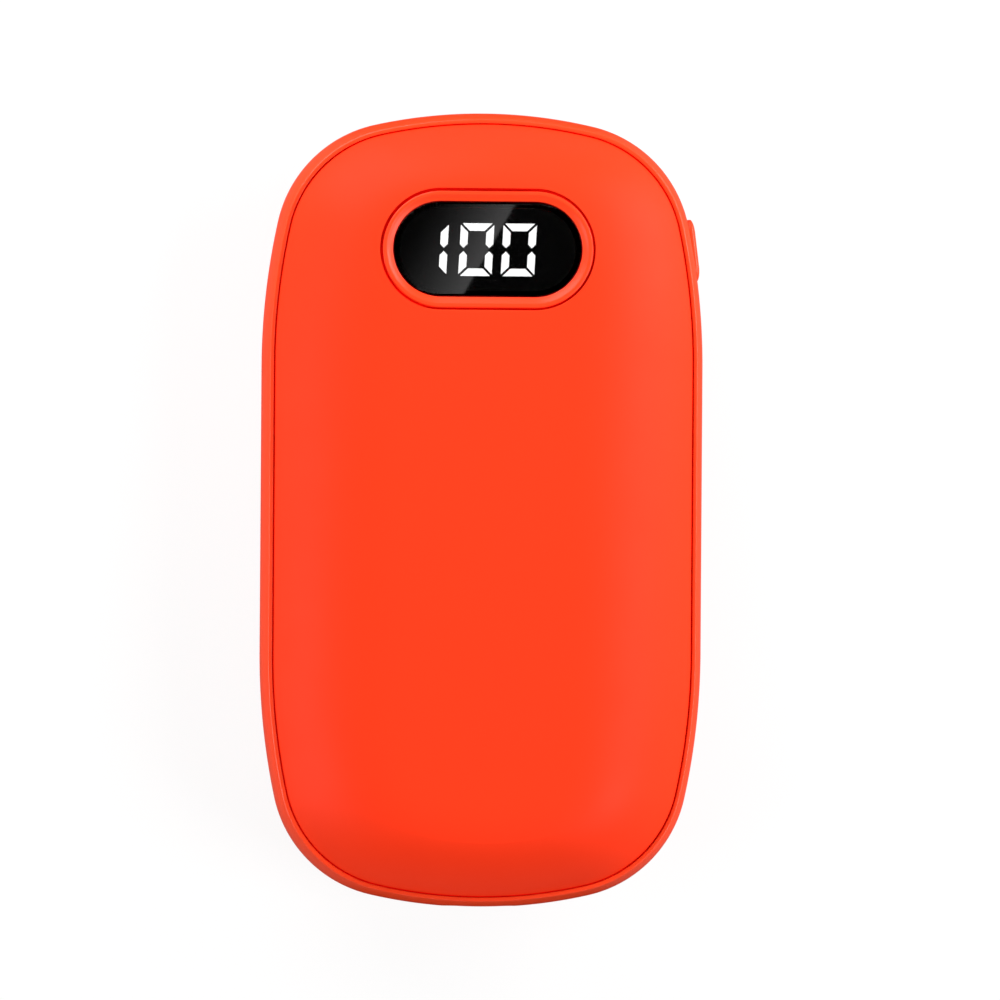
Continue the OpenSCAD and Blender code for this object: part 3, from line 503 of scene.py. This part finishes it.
# Rings from the frame's outside, into a slot, through the wall and out over its inside
def slotRings(cut, first, last):
    us = columns[first:last + 1] - cut["at"]
    border = np.array([(u, rowHeights[0]) for u in us[:-1]] + [(us[-1], z) for z in rowHeights[:-1]]
                      + [(u, rowHeights[-1]) for u in us[:0:-1]] + [(us[0], z) for z in rowHeights[:0:-1]])
    flare = cut.get("flare", 0)
    mouth = pillCrossing(border, cut["half"], cut["radius"] + flare)
    throat = pillCrossing(border, cut["half"], cut["radius"])
    outer = [sidePoints(*(border + (mouth - border) * t + [cut["at"], 0]).T)
             for t in np.linspace(0, 1, sideCuts["easeRings"] + 1)]
    # Straight inwards along the normal of the side at the slot's middle
    ends = sidePoints(np.array([cut["at"] - 0.5, cut["at"] + 0.5]), np.zeros(2))
    tangent = (ends[1] - ends[0]) / np.linalg.norm(ends[1] - ends[0])
    inward = np.array([-tangent[1], tangent[0], 0])
    middle = sidePoints(np.array([cut["at"]]), np.zeros(1))[0]

    def prism(shape, depth):
        return middle + shape[:, :1] * tangent + shape[:, 1:] * [0, 0, 1] + inward * depth

    stack = [(ring, 0) for ring in outer[:-1]] + [(outer[-1], cut["edge"])]
    if flare:
        stack.append((prism(throat, cut["flareDepth"]), cut["flareEdge"]))
    wall = section["wall"]
    scale = outlineArcs(halfWidth - wall, halfLength - wall)
    ratio = scale[0] / widest[0] if cut["at"] < quarterLength else scale[2] / widest[2]
    inner = throat / [ratio, 1]
    stack.append((sidePoints(*(inner + [cut["at"], 0]).T, wall), insideEdge))
    for t in np.linspace(0, 1, sideCuts["innerRings"] + 1)[1:]:
        stack.append((sidePoints(*(inner + (border - inner) * t + [cut["at"], 0]).T, wall), 0))
    return easedRings(stack)


def makeSideFrame():
    rings = easedRings(frameStack(), closed=True)
    inRows, outside, onWall = [], [], []
    for ring in rings:
        x, z = ring[0, 0], ring[0, 2]
        inRows.append(abs(z - midHeight) < sideCuts["rowHalf"] + 1e-6)
        outside.append(x > halfWidth - rimIn)
        onWall.append(abs(x - halfWidth + section["wall"]) < 1e-6)
    openRows = {i for i in range(len(rings) - 1) if inRows[i] and inRows[i + 1]
                and ((outside[i] and outside[i + 1]) or (onWall[i] and onWall[i + 1]))}
    spans = []
    for name in ("button", "socket"):
        cut = sideCuts[name]
        first, last = [round((cut["at"] + reach) / columns[1]) for reach in (-cut["reach"], cut["reach"])]
        spans.append((first, last, cut))
    faces = ringFaces(0, len(rings), body["columns"], True, lambda i, j: not (
        i in openRows and any(first <= j < last for first, last, _ in spans)))
    points = list(np.concatenate(rings))
    for first, last, cut in spans:
        slot = slotRings(cut, first, last)
        faces += ringFaces(len(points), len(slot), len(slot[0]))
        points += list(np.concatenate(slot))
    return newPiece("side_frame_band", points, faces)


sideFrame = makeSideFrame()
sideFrame.data.materials.append(satinPaint)
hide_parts("mid_frame")
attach(sideFrame, "case")
print("side frame made")


# Closed loop of a pill shape with ends of the given radius. At radius 0 it shrinks to a line.
def pillLoop(half, radius, endSteps=56, sideSteps=12):
    turns = np.linspace(-math.pi / 2, math.pi / 2, endSteps + 1)
    sides = np.linspace(-1, 1, sideSteps + 1)[1:-1] * half
    right = np.column_stack([half + radius * np.cos(turns), radius * np.sin(turns)])
    top = np.column_stack([-sides, np.full(len(sides), radius)])
    return np.concatenate([right, top, -right, -top])


# Display ring and lens, as radii round the window's two centres and heights
display = {
    "ringRadius": 7.99,
    "ringShift": (0.04, -0.05, 0.0),  # the ring's edge sits a little low and to the right in the window
    "ringTop": 25.75,
    "bevel": 0.2,
    "topEdge": 0.22,
    "land": 0.35,
    "landEdge": 0.12,
    "dish": 0.45,  # fall from the land to the lens
    "hollow": 0.05,  # depth of the dish below a straight slope
    "seatRadius": 6.55,
    "seatEdge": 0.08,
    "ledge": 0.9,
    "ledgeHeight": 24.10,
    "flangeRadius": 9.75,
    "flangeBottom": 23.2,
    "flangeTop": 24.45,
    "footRadius": 8.345,  # the foot closes the groove between ring and cover
    "footTop": 25.0,
    "footEdge": 0.04,
    "grooveRise": 0.04,
    "grooveEdge": 0.06,
    "lensRadius": 6.45,
    "lensBottom": 24.25,
    "lensTop": 25.15,
    "lensEdges": (0.18, 0.08),  # at its top and at its bottom
}


def windowRing(radius, z):
    flat = pillLoop(window["half"], radius) + [0, window["centreY"]]
    return np.column_stack([flat, np.full(len(flat), z)])


def bezelRings():
    d = display
    land = d["ringRadius"] - d["bevel"] - d["land"]
    dishBottom = d["ringTop"] - d["dish"]
    shift = np.array(d["ringShift"])
    stack = [
        (windowRing(d["flangeRadius"], d["flangeBottom"]), insideEdge),
        (windowRing(d["flangeRadius"], d["flangeTop"]), insideEdge),
        (windowRing(d["footRadius"], d["flangeTop"]), 0),
        (windowRing(d["footRadius"], d["footTop"]), d["footEdge"]),
        (windowRing(d["ringRadius"], d["footTop"] + d["grooveRise"]) + shift, d["grooveEdge"]),
        (windowRing(d["ringRadius"], d["ringTop"]) + shift, d["topEdge"]),
        (windowRing(land, d["ringTop"]) + shift / 2, d["landEdge"]),
    ]
    for t in (0.3, 0.6):
        fall = d["dish"] * t + d["hollow"] * math.sin(math.pi * t)
        stack.append((windowRing(land + (d["seatRadius"] - land) * t, d["ringTop"] - fall), 0))
    stack += [
        (windowRing(d["seatRadius"], dishBottom), d["seatEdge"]),
        (windowRing(d["seatRadius"], d["ledgeHeight"]), 0),
        (windowRing(d["seatRadius"] - d["ledge"], d["ledgeHeight"]), insideEdge),
        (windowRing(d["seatRadius"] - d["ledge"], d["flangeBottom"]), insideEdge),
    ]
    return easedRings(stack, closed=True)


displayRing = sweptPiece("display_bezel_ring", bezelRings(), closed=True)
displayRing.data.materials.append(satinRing)
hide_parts("display_bezel")


def lensRings():
    radius, top, bottom = display["lensRadius"], display["lensTop"], display["lensBottom"]
    topEdge, bottomEdge = display["lensEdges"]
    stack = [(windowRing(r * radius, top), 0) for r in (0, 0.3, 0.6, 0.9)]
    stack += [(windowRing(radius, top), topEdge), (windowRing(radius, bottom), bottomEdge)]
    stack += [(windowRing(r * radius, bottom), 0) for r in (0.9, 0.5, 0)]
    return easedRings(stack)


# Smoked acrylic, polished: black where nothing is lit behind it, with one sharp, faint reflection of the room
smoke = {"tint": "#3C3C3C", "roughness": 0.015, "ior": 1.49, "hazeSize": 4.0, "haze": 0.006}
smokedAcrylic, tree = newMaterial("polished_smoked_acrylic")
place = addNode(tree, "ShaderNodeTexCoord").outputs["Object"]
haze = addNode(tree, "ShaderNodeTexNoise", {"Scale": 1 / (smoke["hazeSize"] * mm), "Detail": 2.0},
               {"Vector": place}).outputs[0]
hazed = addNode(tree, "ShaderNodeMapRange",
                {"To Min": smoke["roughness"] - smoke["haze"], "To Max": smoke["roughness"] + smoke["haze"]},
                {"Value": haze}).outputs[0]
glass = addNode(tree, "ShaderNodeBsdfPrincipled",
                {"Base Color": linear(smoke["tint"]), "Transmission Weight": 1.0, "IOR": smoke["ior"]},
                {"Roughness": hazed}).outputs[0]
addNode(tree, "ShaderNodeOutputMaterial", None, {"Surface": glass})

lens = sweptPiece("display_lens_pane", lensRings())
lens.data.materials.append(smokedAcrylic)
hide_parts("display_lens")
for piece in (displayRing, lens):
    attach(piece, "case")
print("display made")

# Button: a rounded key with a slightly crowned face, on a flange that keeps it in the frame
key = {
    "point": (29.157, 36.278, 13.0),  # on the side, in the middle of its slot
    "turn": 10.0,
    "lean": 3.0,  # the face stands further out towards its upper end
    "half": 2.3,
    "radius": 2.0,
    "proud": 0.6,
    "edge": 0.4,
    "crown": 0.4,
    "flangeRim": 0.8,
    "flangeBack": -3.5,
    "flangeFront": -2.7,
    "plunger": 1.4,
    "plungerBack": -4.3,
}


# Loop of the key at a height over the side, along the side's normal there
def keyLoop(half, radius, height, slope=0.0):
    flat = pillLoop(half, radius, endSteps=28, sideSteps=8)
    turn = math.radians(key["turn"])
    outwards = np.array([math.cos(turn), math.sin(turn), 0])
    along = np.array([-math.sin(turn), math.cos(turn), 0])
    reach = height + flat[:, 0] * slope
    return np.array(key["point"]) + flat[:, :1] * along + flat[:, 1:] * [0, 0, 1] + reach[:, None] * outwards


def keyRings():
    k = key
    slope = math.tan(math.radians(k["lean"]))
    stack = []
    for share in (0, 0.2, 0.4, 0.55, 0.7, 0.8, 0.9):
        height = k["proud"] - k["crown"] * share ** 3
        stack.append((keyLoop(k["half"], k["radius"] * share, height, slope), 0))
    stack += [
        (keyLoop(k["half"], k["radius"], k["proud"] - k["crown"], slope), k["edge"]),
        (keyLoop(k["half"], k["radius"], k["flangeFront"]), insideEdge),
        (keyLoop(k["half"], k["radius"] + k["flangeRim"], k["flangeFront"]), insideEdge),
        (keyLoop(k["half"], k["radius"] + k["flangeRim"], k["flangeBack"]), insideEdge),
        (keyLoop(0, k["plunger"], k["flangeBack"]), 0),
        (keyLoop(0, k["plunger"], k["plungerBack"]), insideEdge),
        (keyLoop(0, k["plunger"] * 0.5, k["plungerBack"]), 0),
        (keyLoop(0, 0, k["plungerBack"]), 0),
    ]
    return easedRings(stack)


buttonKey = sweptPiece("button_key", keyRings())
buttonKey.data.materials.append(satinPaint)
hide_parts("button_cap")
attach(buttonKey, "button")
print("button made")

# Charging socket: a drawn steel shell with rolled lips, and gilt contacts on both faces of its tongue
socket = {
    "mouth": -54.2,
    "depth": 7.4,
    "half": 2.87,
    "radius": 1.6,
    "wall": 0.3,
    "lipEdge": 0.12,
    "backEdge": 0.05,
    "tongueThickness": 0.7,
    "tongueFront": -53.4,
    "contacts": 12,
    "contactPitch": 0.5,
    "contactWidth": 0.26,
    "contactLength": 3.2,
    "contactBack": 0.35,  # distance from the tongue's front
    "contactSunk": 0.02,
    "contactProud": 0.02,
    "contactTaper": 0.03,
}


def socketLoop(radius, y):
    flat = pillLoop(socket["half"], radius, endSteps=24, sideSteps=8)
    return np.column_stack([flat[:, 0], np.full(len(flat), y), midHeight + flat[:, 1]])


def socketRings():
    outer, inner = socket["radius"], socket["radius"] - socket["wall"]
    mouth, back = socket["mouth"], socket["mouth"] + socket["depth"]
    lip, rear = socket["lipEdge"], socket["backEdge"]
    return easedRings([(socketLoop(outer, back), rear), (socketLoop(outer, mouth), lip),
                       (socketLoop(inner, mouth), lip), (socketLoop(inner, back), rear)], closed=True)


# Nickel-plated steel, drawn: bright and slightly streaked along the socket
nickelSteel = finish("nickel_plated_steel", {
    "colour": "#B9B6AE", "shade": "#A9A6A0", "mottleSize": 0.6, "stretch": (1, 0.15, 1), "roughness": 0.33,
    "wander": 0.04, "grainSize": 0.2, "grain": 0.1, "grainDepth": 0.004, "metallic": 1.0,
})
# Gold flash over nickel: a warm gleam on the contacts
goldFlash = finish("gold_flashed_contacts", {
    "colour": "#E7C36B", "shade": "#DDB65A", "mottleSize": 0.4, "roughness": 0.22, "wander": 0.03,
    "grainSize": 0.1, "grain": 0.05, "grainDepth": 0.002, "metallic": 1.0,
})
socketShell = sweptPiece("socket_shell_sleeve", socketRings(), closed=True)
socketShell.data.materials.append(nickelSteel)
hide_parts("socket_shell")


def contactStrips():
    points, faces = [], []
    s = socket
    base = s["tongueThickness"] / 2
    front = s["tongueFront"] + s["contactBack"]
    back = front + s["contactLength"]
    for side in (-1, 1):
        for i in range(s["contacts"]):
            x = (i - (s["contacts"] - 1) / 2) * s["contactPitch"]
            start = len(points)
            for z, rim in ((base - s["contactSunk"], 0), (base + s["contactProud"], s["contactTaper"])):
                half = s["contactWidth"] / 2 - rim
                corners = (x - half, front + rim), (x + half, front + rim), (x + half, back), (x - half, back)
                points += [(px, py, midHeight + side * z) for px, py in corners]
            faces += [tuple(range(start, start + 4)), tuple(range(start + 4, start + 8))]
            for j in range(4):
                k = (j + 1) % 4
                faces.append((start + j, start + k, start + 4 + k, start + 4 + j))
    return newPiece("socket_contacts", points, faces, sharpAngle=30)


contacts = contactStrips()
contacts.data.materials.append(goldFlash)
for piece in (socketShell, contacts):
    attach(piece, "case")
print("charging socket made")

# Light guides of the digits: frosted polycarbonate lit from below, so each bar is an even white
guides = {"plastic": "#E9ECF2", "light": "#FFFFFF", "strength": 26.0, "ior": 1.58,
          "frostSize": 0.4, "smoothest": 0.45, "roughest": 0.6}
litGuides, tree = newMaterial("lit_polycarbonate_guides")
place = addNode(tree, "ShaderNodeTexCoord").outputs["Object"]
frost = addNode(tree, "ShaderNodeTexNoise", {"Scale": 1 / (guides["frostSize"] * mm), "Detail": 1.0},
                {"Vector": place}).outputs[0]
frosted = addNode(tree, "ShaderNodeMapRange", {"To Min": guides["smoothest"], "To Max": guides["roughest"]},
                  {"Value": frost}).outputs[0]
glow = addNode(tree, "ShaderNodeBsdfPrincipled",
               {"Base Color": linear(guides["plastic"]), "Emission Color": linear(guides["light"]),
                "Emission Strength": guides["strength"], "IOR": guides["ior"]},
               {"Roughness": frosted}).outputs[0]
addNode(tree, "ShaderNodeOutputMaterial", None, {"Surface": glow})

# What the construction's own pieces are made of. None shows while the case is closed.
plainFinishes = {
    # Glass-filled black nylon, moulded: matt, and faintly cloudy from the fibre
    "black_nylon": (["display_housing", "switch_body", "socket_tongue"], {
        "colour": "#17171A", "shade": "#101012", "mottleSize": 1.5, "roughness": 0.5, "wander": 0.06,
        "grainSize": 0.15, "grain": 0.15, "grainDepth": 0.01}),
    # The same guides without light: smoky and dull
    "unlit_polycarbonate_guides": (["unlit_segments"], {
        "colour": "#26262A", "shade": "#1E1E22", "mottleSize": 0.8, "roughness": 0.45, "wander": 0.05,
        "grainSize": 0.3, "grain": 0.1, "grainDepth": 0.01, "ior": 1.58}),
    # Acetal, moulded in its natural white: waxy and smooth
    "natural_acetal": (["switch_stem"], {
        "colour": "#E6E5DF", "shade": "#DCDBD3", "mottleSize": 1.2, "roughness": 0.32, "wander": 0.04,
        "grainSize": 0.2, "grain": 0.06, "grainDepth": 0.01, "ior": 1.48}),
    # ABS in its natural ivory, moulded and left unpainted: satin, with slow flow marks along its length
    "natural_abs": (["chassis"], {
        "colour": "#DDD9CC", "shade": "#D2CEBF", "mottleSize": 4.0, "stretch": (1, 0.3, 1), "roughness": 0.42,
        "wander": 0.05, "grainSize": 0.4, "grain": 0.1, "grainDepth": 0.02}),
    # Glass-epoxy board under green solder resist: glossy over a faint weave
    "solder_resist": (["control_board", "charge_board", "cell_board"], {
        "colour": "#1B5B3A", "shade": "#154D30", "mottleSize": 1.2, "roughness": 0.3, "wander": 0.06,
        "grainSize": 0.45, "grain": 0.2, "grainDepth": 0.01, "coat": 0.4}),
    # Moulded epoxy of the chips: charcoal and dead matt
    "moulded_epoxy": (["control_chips", "charge_chips", "thermistor"], {
        "colour": "#25252A", "shade": "#1C1C20", "mottleSize": 0.8, "roughness": 0.6, "wander": 0.06,
        "grainSize": 0.12, "grain": 0.2, "grainDepth": 0.01}),
    # Sintered ferrite: grey, dense and slightly sparkling
    "sintered_ferrite": (["power_inductor"], {
        "colour": "#55555A", "shade": "#434348", "mottleSize": 0.35, "roughness": 0.48, "wander": 0.1,
        "grainSize": 0.15, "grain": 0.3, "grainDepth": 0.015}),
    # Zinc-plated steel screws: bluish, bright on the edges of the recess
    "zinc_plated_steel": (["board_screws", "chassis_screws"], {
        "colour": "#B7BCC4", "shade": "#A3A8B0", "mottleSize": 0.5, "roughness": 0.3, "wander": 0.08,
        "grainSize": 0.15, "grain": 0.1, "grainDepth": 0.005, "metallic": 1.0}),
    # Laminated aluminium foil of the pouch cells: soft grey metal with shallow creases
    "pouch_foil": (["cell_front", "cell_rear"], {
        "colour": "#C4C6C9", "shade": "#B4B6BA", "mottleSize": 6.0, "roughness": 0.38, "wander": 0.08,
        "grainSize": 2.5, "grain": 0.35, "grainDepth": 0.08, "metallic": 0.9}),
    # Paper-backed adhesive tape: cream, fibrous and matt
    "paper_tape": (["cell_tape", "lens_tape"], {
        "colour": "#D8D2BC", "shade": "#C9C3AB", "mottleSize": 1.0, "roughness": 0.75, "wander": 0.08,
        "grainSize": 0.3, "grain": 0.3, "grainDepth": 0.02}),
    # Silicone-jacketed wires: soft sheen, slightly dusty
    "red_silicone": (["lead_red"], {
        "colour": "#C2201B", "shade": "#AE1A16", "mottleSize": 1.2, "roughness": 0.5, "wander": 0.06,
        "grainSize": 0.2, "grain": 0.1, "grainDepth": 0.01, "sheen": 0.1, "ior": 1.41}),
    "black_silicone": (["lead_black"], {
        "colour": "#1C1C1F", "shade": "#151517", "mottleSize": 1.2, "roughness": 0.5, "wander": 0.06,
        "grainSize": 0.2, "grain": 0.1, "grainDepth": 0.01, "sheen": 0.1, "ior": 1.41}),
    # Cut polyurethane foam: open cells of about 0.5 mm, so it swallows light
    "cut_foam": (["front_foam", "rear_foam"], {
        "colour": "#4C4D51", "shade": "#38393C", "mottleSize": 0.6, "roughness": 0.9, "wander": 0.05,
        "grainSize": 0.5, "grain": 0.8, "grainDepth": 0.2, "sheen": 0.15}),
    # Rolled aluminium of the heat plates: bright, with fine lines along the rolling direction
    "rolled_aluminium": (["front_plate", "rear_plate"], {
        "colour": "#D2D4D6", "shade": "#C3C6C9", "mottleSize": 0.6, "stretch": (1, 0.05, 1),
        "roughness": 0.34, "wander": 0.08, "grainSize": 0.3, "grain": 0.2, "grainDepth": 0.005,
        "metallic": 1.0}),
    # Silicone gap pads: putty-like, blue-grey and matt
    "gap_pad_silicone": (["front_thermal_pad", "rear_thermal_pad"], {
        "colour": "#8C9CB0", "shade": "#7F8FA4", "mottleSize": 1.5, "roughness": 0.65, "wander": 0.05,
        "grainSize": 0.5, "grain": 0.2, "grainDepth": 0.02, "ior": 1.41}),
    # Flat cable in white polyester: smooth and lightly glossy
    "flat_cable": (["link_ribbon"], {
        "colour": "#D4D5D8", "shade": "#C8C9CD", "mottleSize": 1.5, "roughness": 0.36, "wander": 0.05,
        "grainSize": 0.6, "grain": 0.1, "grainDepth": 0.01}),
}
for name, (nodeNames, look) in plainFinishes.items():
    material = finish(name, look)
    for nodeName in nodeNames:
        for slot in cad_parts[nodeName].material_slots:
            slot.material = material

# Polyimide heater film: glossy amber over an etched copper track that runs to and fro across it
film = {"amber": "#B0641A", "copper": "#7C3D12", "trackPitch": 2.6, "trackHeight": 0.03, "roughness": 0.28,
        "ior": 1.7, "gloss": 0.3}
bandsPerUnit = 0.314  # a wave texture of this scale has one band to the unit
heaterFilm, tree = newMaterial("polyimide_heater_film")
place = addNode(tree, "ShaderNodeTexCoord").outputs["Object"]
tracks = addNode(tree, "ShaderNodeTexWave",
                 {"wave_type": "BANDS", "bands_direction": "Y", "wave_profile": "SIN", "Distortion": 0.0,
                  "Scale": bandsPerUnit / (film["trackPitch"] * mm)}, {"Vector": place}).outputs[0]
etched = addNode(tree, "ShaderNodeMapRange", {"From Min": 0.45, "From Max": 0.55},
                 {"Value": tracks}).outputs[0]
filmColour = addNode(tree, "ShaderNodeMix",
                     {"data_type": "RGBA", 6: linear(film["amber"]), 7: linear(film["copper"])},
                     {0: etched}).outputs[2]
filmBump = addNode(tree, "ShaderNodeBump", {"Strength": 0.4, "Distance": film["trackHeight"] * mm},
                   {"Height": etched}).outputs[0]
filmSurface = addNode(tree, "ShaderNodeBsdfPrincipled",
                      {"Roughness": film["roughness"], "IOR": film["ior"], "Coat Weight": film["gloss"]},
                      {"Base Color": filmColour, "Normal": filmBump}).outputs[0]
addNode(tree, "ShaderNodeOutputMaterial", None, {"Surface": filmSurface})
for nodeName in ("front_heater", "rear_heater"):
    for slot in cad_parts[nodeName].material_slots:
        slot.material = heaterFilm
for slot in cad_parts["lit_segments"].material_slots:
    slot.material = litGuides
print("inner pieces finished")

# Studio: white paper under the object, plain white to the camera and in gloss except for a soft shadow, and
# four soft boxes, each as its power in watts, its side and its place in metres
studio = {
    "floorHalf": 3.0,
    "bounce": "#B8B8B8",  # the paper's colour to the light that it sends back up, which is little
    "glowShare": 0.87,  # how much of the white that the floor shows is its own
    "fadeFrom": 0.18,  # from here to fadeTo, away from the object, the rest of its white becomes its own too
    "fadeTo": 0.9,
    "worldLight": 0.11,
    "softBoxes": {
        "key_soft_box": (0.95, 0.2, (0.259, 0.126, 0.112)),
        "top_soft_box": (1.09, 0.26, (-0.138, 0.252, 0.138)),
        "right_soft_box": (6.2, 0.45, (0.7, -0.257, 0.679)),
        "left_soft_box": (5.9, 0.45, (-0.897, -0.24, 0.383)),
    },
}


# Level square of paper or card, in metres
def squareCard(name, half, height, material):
    corners = [(-half, -half, height), (half, -half, height), (half, half, height), (-half, half, height)]
    card = newPiece(name, np.array(corners) / mm, [(0, 1, 2, 3)])
    card.data.materials.append(material)
    return card


# Is 1 for what the camera sees, straight or in gloss or through the lens, and 0 for the light on the object
def seenByCamera(tree):
    rays = addNode(tree, "ShaderNodeLightPath").outputs
    seen = addNode(tree, "ShaderNodeMath", {"operation": "MAXIMUM"},
                   {0: rays["Is Camera Ray"], 1: rays["Is Glossy Ray"]}).outputs[0]
    return addNode(tree, "ShaderNodeMath", {"operation": "MAXIMUM"},
                   {0: seen, 1: rays["Is Transmission Ray"]}).outputs[0]


white = linear("#FFFFFF")
paper, tree = newMaterial("white_paper")
seen = seenByCamera(tree)
place = addNode(tree, "ShaderNodeTexCoord").outputs["Object"]
away = addNode(tree, "ShaderNodeVectorMath", {"operation": "LENGTH"}, {0: place}).outputs["Value"]
far = addNode(tree, "ShaderNodeMapRange",
              {"interpolation_type": "SMOOTHSTEP", "From Min": studio["fadeFrom"],
               "From Max": studio["fadeTo"], "To Min": studio["glowShare"], "To Max": 1.0},
              {"Value": away}).outputs[0]
share = addNode(tree, "ShaderNodeMath", {"operation": "MULTIPLY"}, {0: far, 1: seen}).outputs[0]
paperColour = addNode(tree, "ShaderNodeMix",
                      {"data_type": "RGBA", 6: linear(studio["bounce"]), 7: white},
                      {0: seen}).outputs[2]
lit = addNode(tree, "ShaderNodeBsdfDiffuse", None, {"Color": paperColour}).outputs[0]
glowing = addNode(tree, "ShaderNodeEmission", {"Color": white}).outputs[0]
mixed = addNode(tree, "ShaderNodeMixShader", None, {0: share, 1: lit, 2: glowing}).outputs[0]
addNode(tree, "ShaderNodeOutputMaterial", None, {"Surface": mixed})
floor = squareCard("floor_paper", studio["floorHalf"], 0, paper)

# Room: white to the camera and in reflections, and a plain soft light on everything else
world = bpy.data.worlds.new("white_room")
world.use_nodes = True
bpy.context.scene.world = world
tree = world.node_tree
tree.nodes.clear()
strength = addNode(tree, "ShaderNodeMapRange", {"To Min": studio["worldLight"], "To Max": 1.0},
                   {"Value": seenByCamera(tree)}).outputs[0]
background = addNode(tree, "ShaderNodeBackground", {"Color": white}, {"Strength": strength}).outputs[0]
addNode(tree, "ShaderNodeOutputWorld", None, {"Surface": background})


# Square soft box that faces the middle of the object
def softBox(name, power, side, place):
    lamp = bpy.data.lights.new(name, "AREA")
    lamp.shape = "SQUARE"
    lamp.size = side
    lamp.energy = power
    box = bpy.data.objects.new(name, lamp)
    bpy.context.scene.collection.objects.link(box)
    box.location = place
    box.rotation_euler = (Vector((0, 0, midHeight * mm)) - box.location).to_track_quat("-Z", "Y").to_euler()


for name, (power, side, place) in studio["softBoxes"].items():
    softBox(name, power, side, place)

# Black flag over the object, seen only in its gloss, so that the lens stays black. A grey strip on it, bright
# at one slanting edge, is the reflection in the left of the lens.
flag = {
    "height": 0.52,
    "half": 0.8,
    "stripBright": 1.4,
    "edgePoint": (0.0278, 0.0529),
    "edgeTurn": 29.5,
    "fade": 0.0165,
}
edgeX, edgeY = flag["edgePoint"]
blackFoam, tree = newMaterial("black_foam_board")
place = addNode(tree, "ShaderNodeTexCoord").outputs["Object"]
turned = addNode(tree, "ShaderNodeVectorRotate",
                 {"rotation_type": "Z_AXIS", "Angle": math.radians(flag["edgeTurn"]),
                  "Center": (edgeX, edgeY, 0.0)}, {"Vector": place}).outputs[0]
acrossEdge = addNode(tree, "ShaderNodeSeparateXYZ", None, {0: turned}).outputs["X"]
strip = addNode(tree, "ShaderNodeMapRange", {"From Min": edgeX - flag["fade"], "From Max": edgeX},
                {"Value": acrossEdge}).outputs[0]
strip = addNode(tree, "ShaderNodeMath", {"operation": "POWER", 1: 2.0}, {0: strip}).outputs[0]
onStrip = addNode(tree, "ShaderNodeMath", {"operation": "LESS_THAN", 1: edgeX}, {0: acrossEdge}).outputs[0]
grey = addNode(tree, "ShaderNodeMath", {"operation": "MULTIPLY"}, {0: strip, 1: onStrip}).outputs[0]
grey = addNode(tree, "ShaderNodeMath", {"operation": "MULTIPLY", 1: flag["stripBright"]},
               {0: grey}).outputs[0]
gleam = addNode(tree, "ShaderNodeEmission", {"Color": white}, {"Strength": grey}).outputs[0]
addNode(tree, "ShaderNodeOutputMaterial", None, {"Surface": gleam})
flagCard = squareCard("black_flag", flag["half"], flag["height"], blackFoam)

# Card laid round the object, also seen only in its gloss. It is black off the two ends, which keeps the glare
# of the floor off them, and dim grey along the sides, which lights the edge of the band a little.
lowCard = {"half": 0.2, "height": 0.0001, "blackTo": 0.016, "greyFrom": 0.03, "grey": 0.13}
shadedCard, tree = newMaterial("shaded_card")
place = addNode(tree, "ShaderNodeTexCoord").outputs["Object"]
across = addNode(tree, "ShaderNodeSeparateXYZ", None, {0: place}).outputs["X"]
aside = addNode(tree, "ShaderNodeMath", {"operation": "ABSOLUTE"}, {0: across}).outputs[0]
shade = addNode(tree, "ShaderNodeMapRange",
                {"interpolation_type": "SMOOTHSTEP", "From Min": lowCard["blackTo"],
                 "From Max": lowCard["greyFrom"], "To Max": lowCard["grey"]}, {"Value": aside}).outputs[0]
gleam = addNode(tree, "ShaderNodeEmission", {"Color": white}, {"Strength": shade}).outputs[0]
addNode(tree, "ShaderNodeOutputMaterial", None, {"Surface": gleam})
floorCard = squareCard("low_card", lowCard["half"], lowCard["height"], shadedCard)
for piece in (flagCard, floorCard):
    piece.visible_camera = piece.visible_diffuse = piece.visible_shadow = False
    piece.visible_transmission = piece.visible_volume_scatter = False
print("studio made")

# Camera: a long lens above the front, slightly to the left of the middle, in metres and degrees
view = {
    "distance": 1.0,
    "frameWidth": 0.1387,  # width of the picture at the widest line of the body
    "aim": (0.0026, 0.00145, 0.013),
    "yaw": 3.3,
    "roll": 0.39,
    "sensor": 36,
    "nearest": 0.01,
    "furthest": 20,
}
cameraData = bpy.data.cameras.new("camera")
cameraData.sensor_width = cameraData.sensor_height = view["sensor"]
cameraData.angle = 2 * math.atan(view["frameWidth"] / 2 / view["distance"])
cameraData.clip_start, cameraData.clip_end = view["nearest"], view["furthest"]
camera = bpy.data.objects.new("camera", cameraData)
bpy.context.scene.collection.objects.link(camera)
yaw = math.radians(view["yaw"])
camera.location = Vector(view["aim"]) + view["distance"] * Vector((-math.sin(yaw), 0, math.cos(yaw)))
camera.rotation_mode = "ZYX"  # the roll is about the camera's own axis
camera.rotation_euler = (0, -yaw, math.radians(view["roll"]))
bpy.context.scene.camera = camera
bpy.context.scene.view_settings.view_transform = "Standard"
print("camera placed")
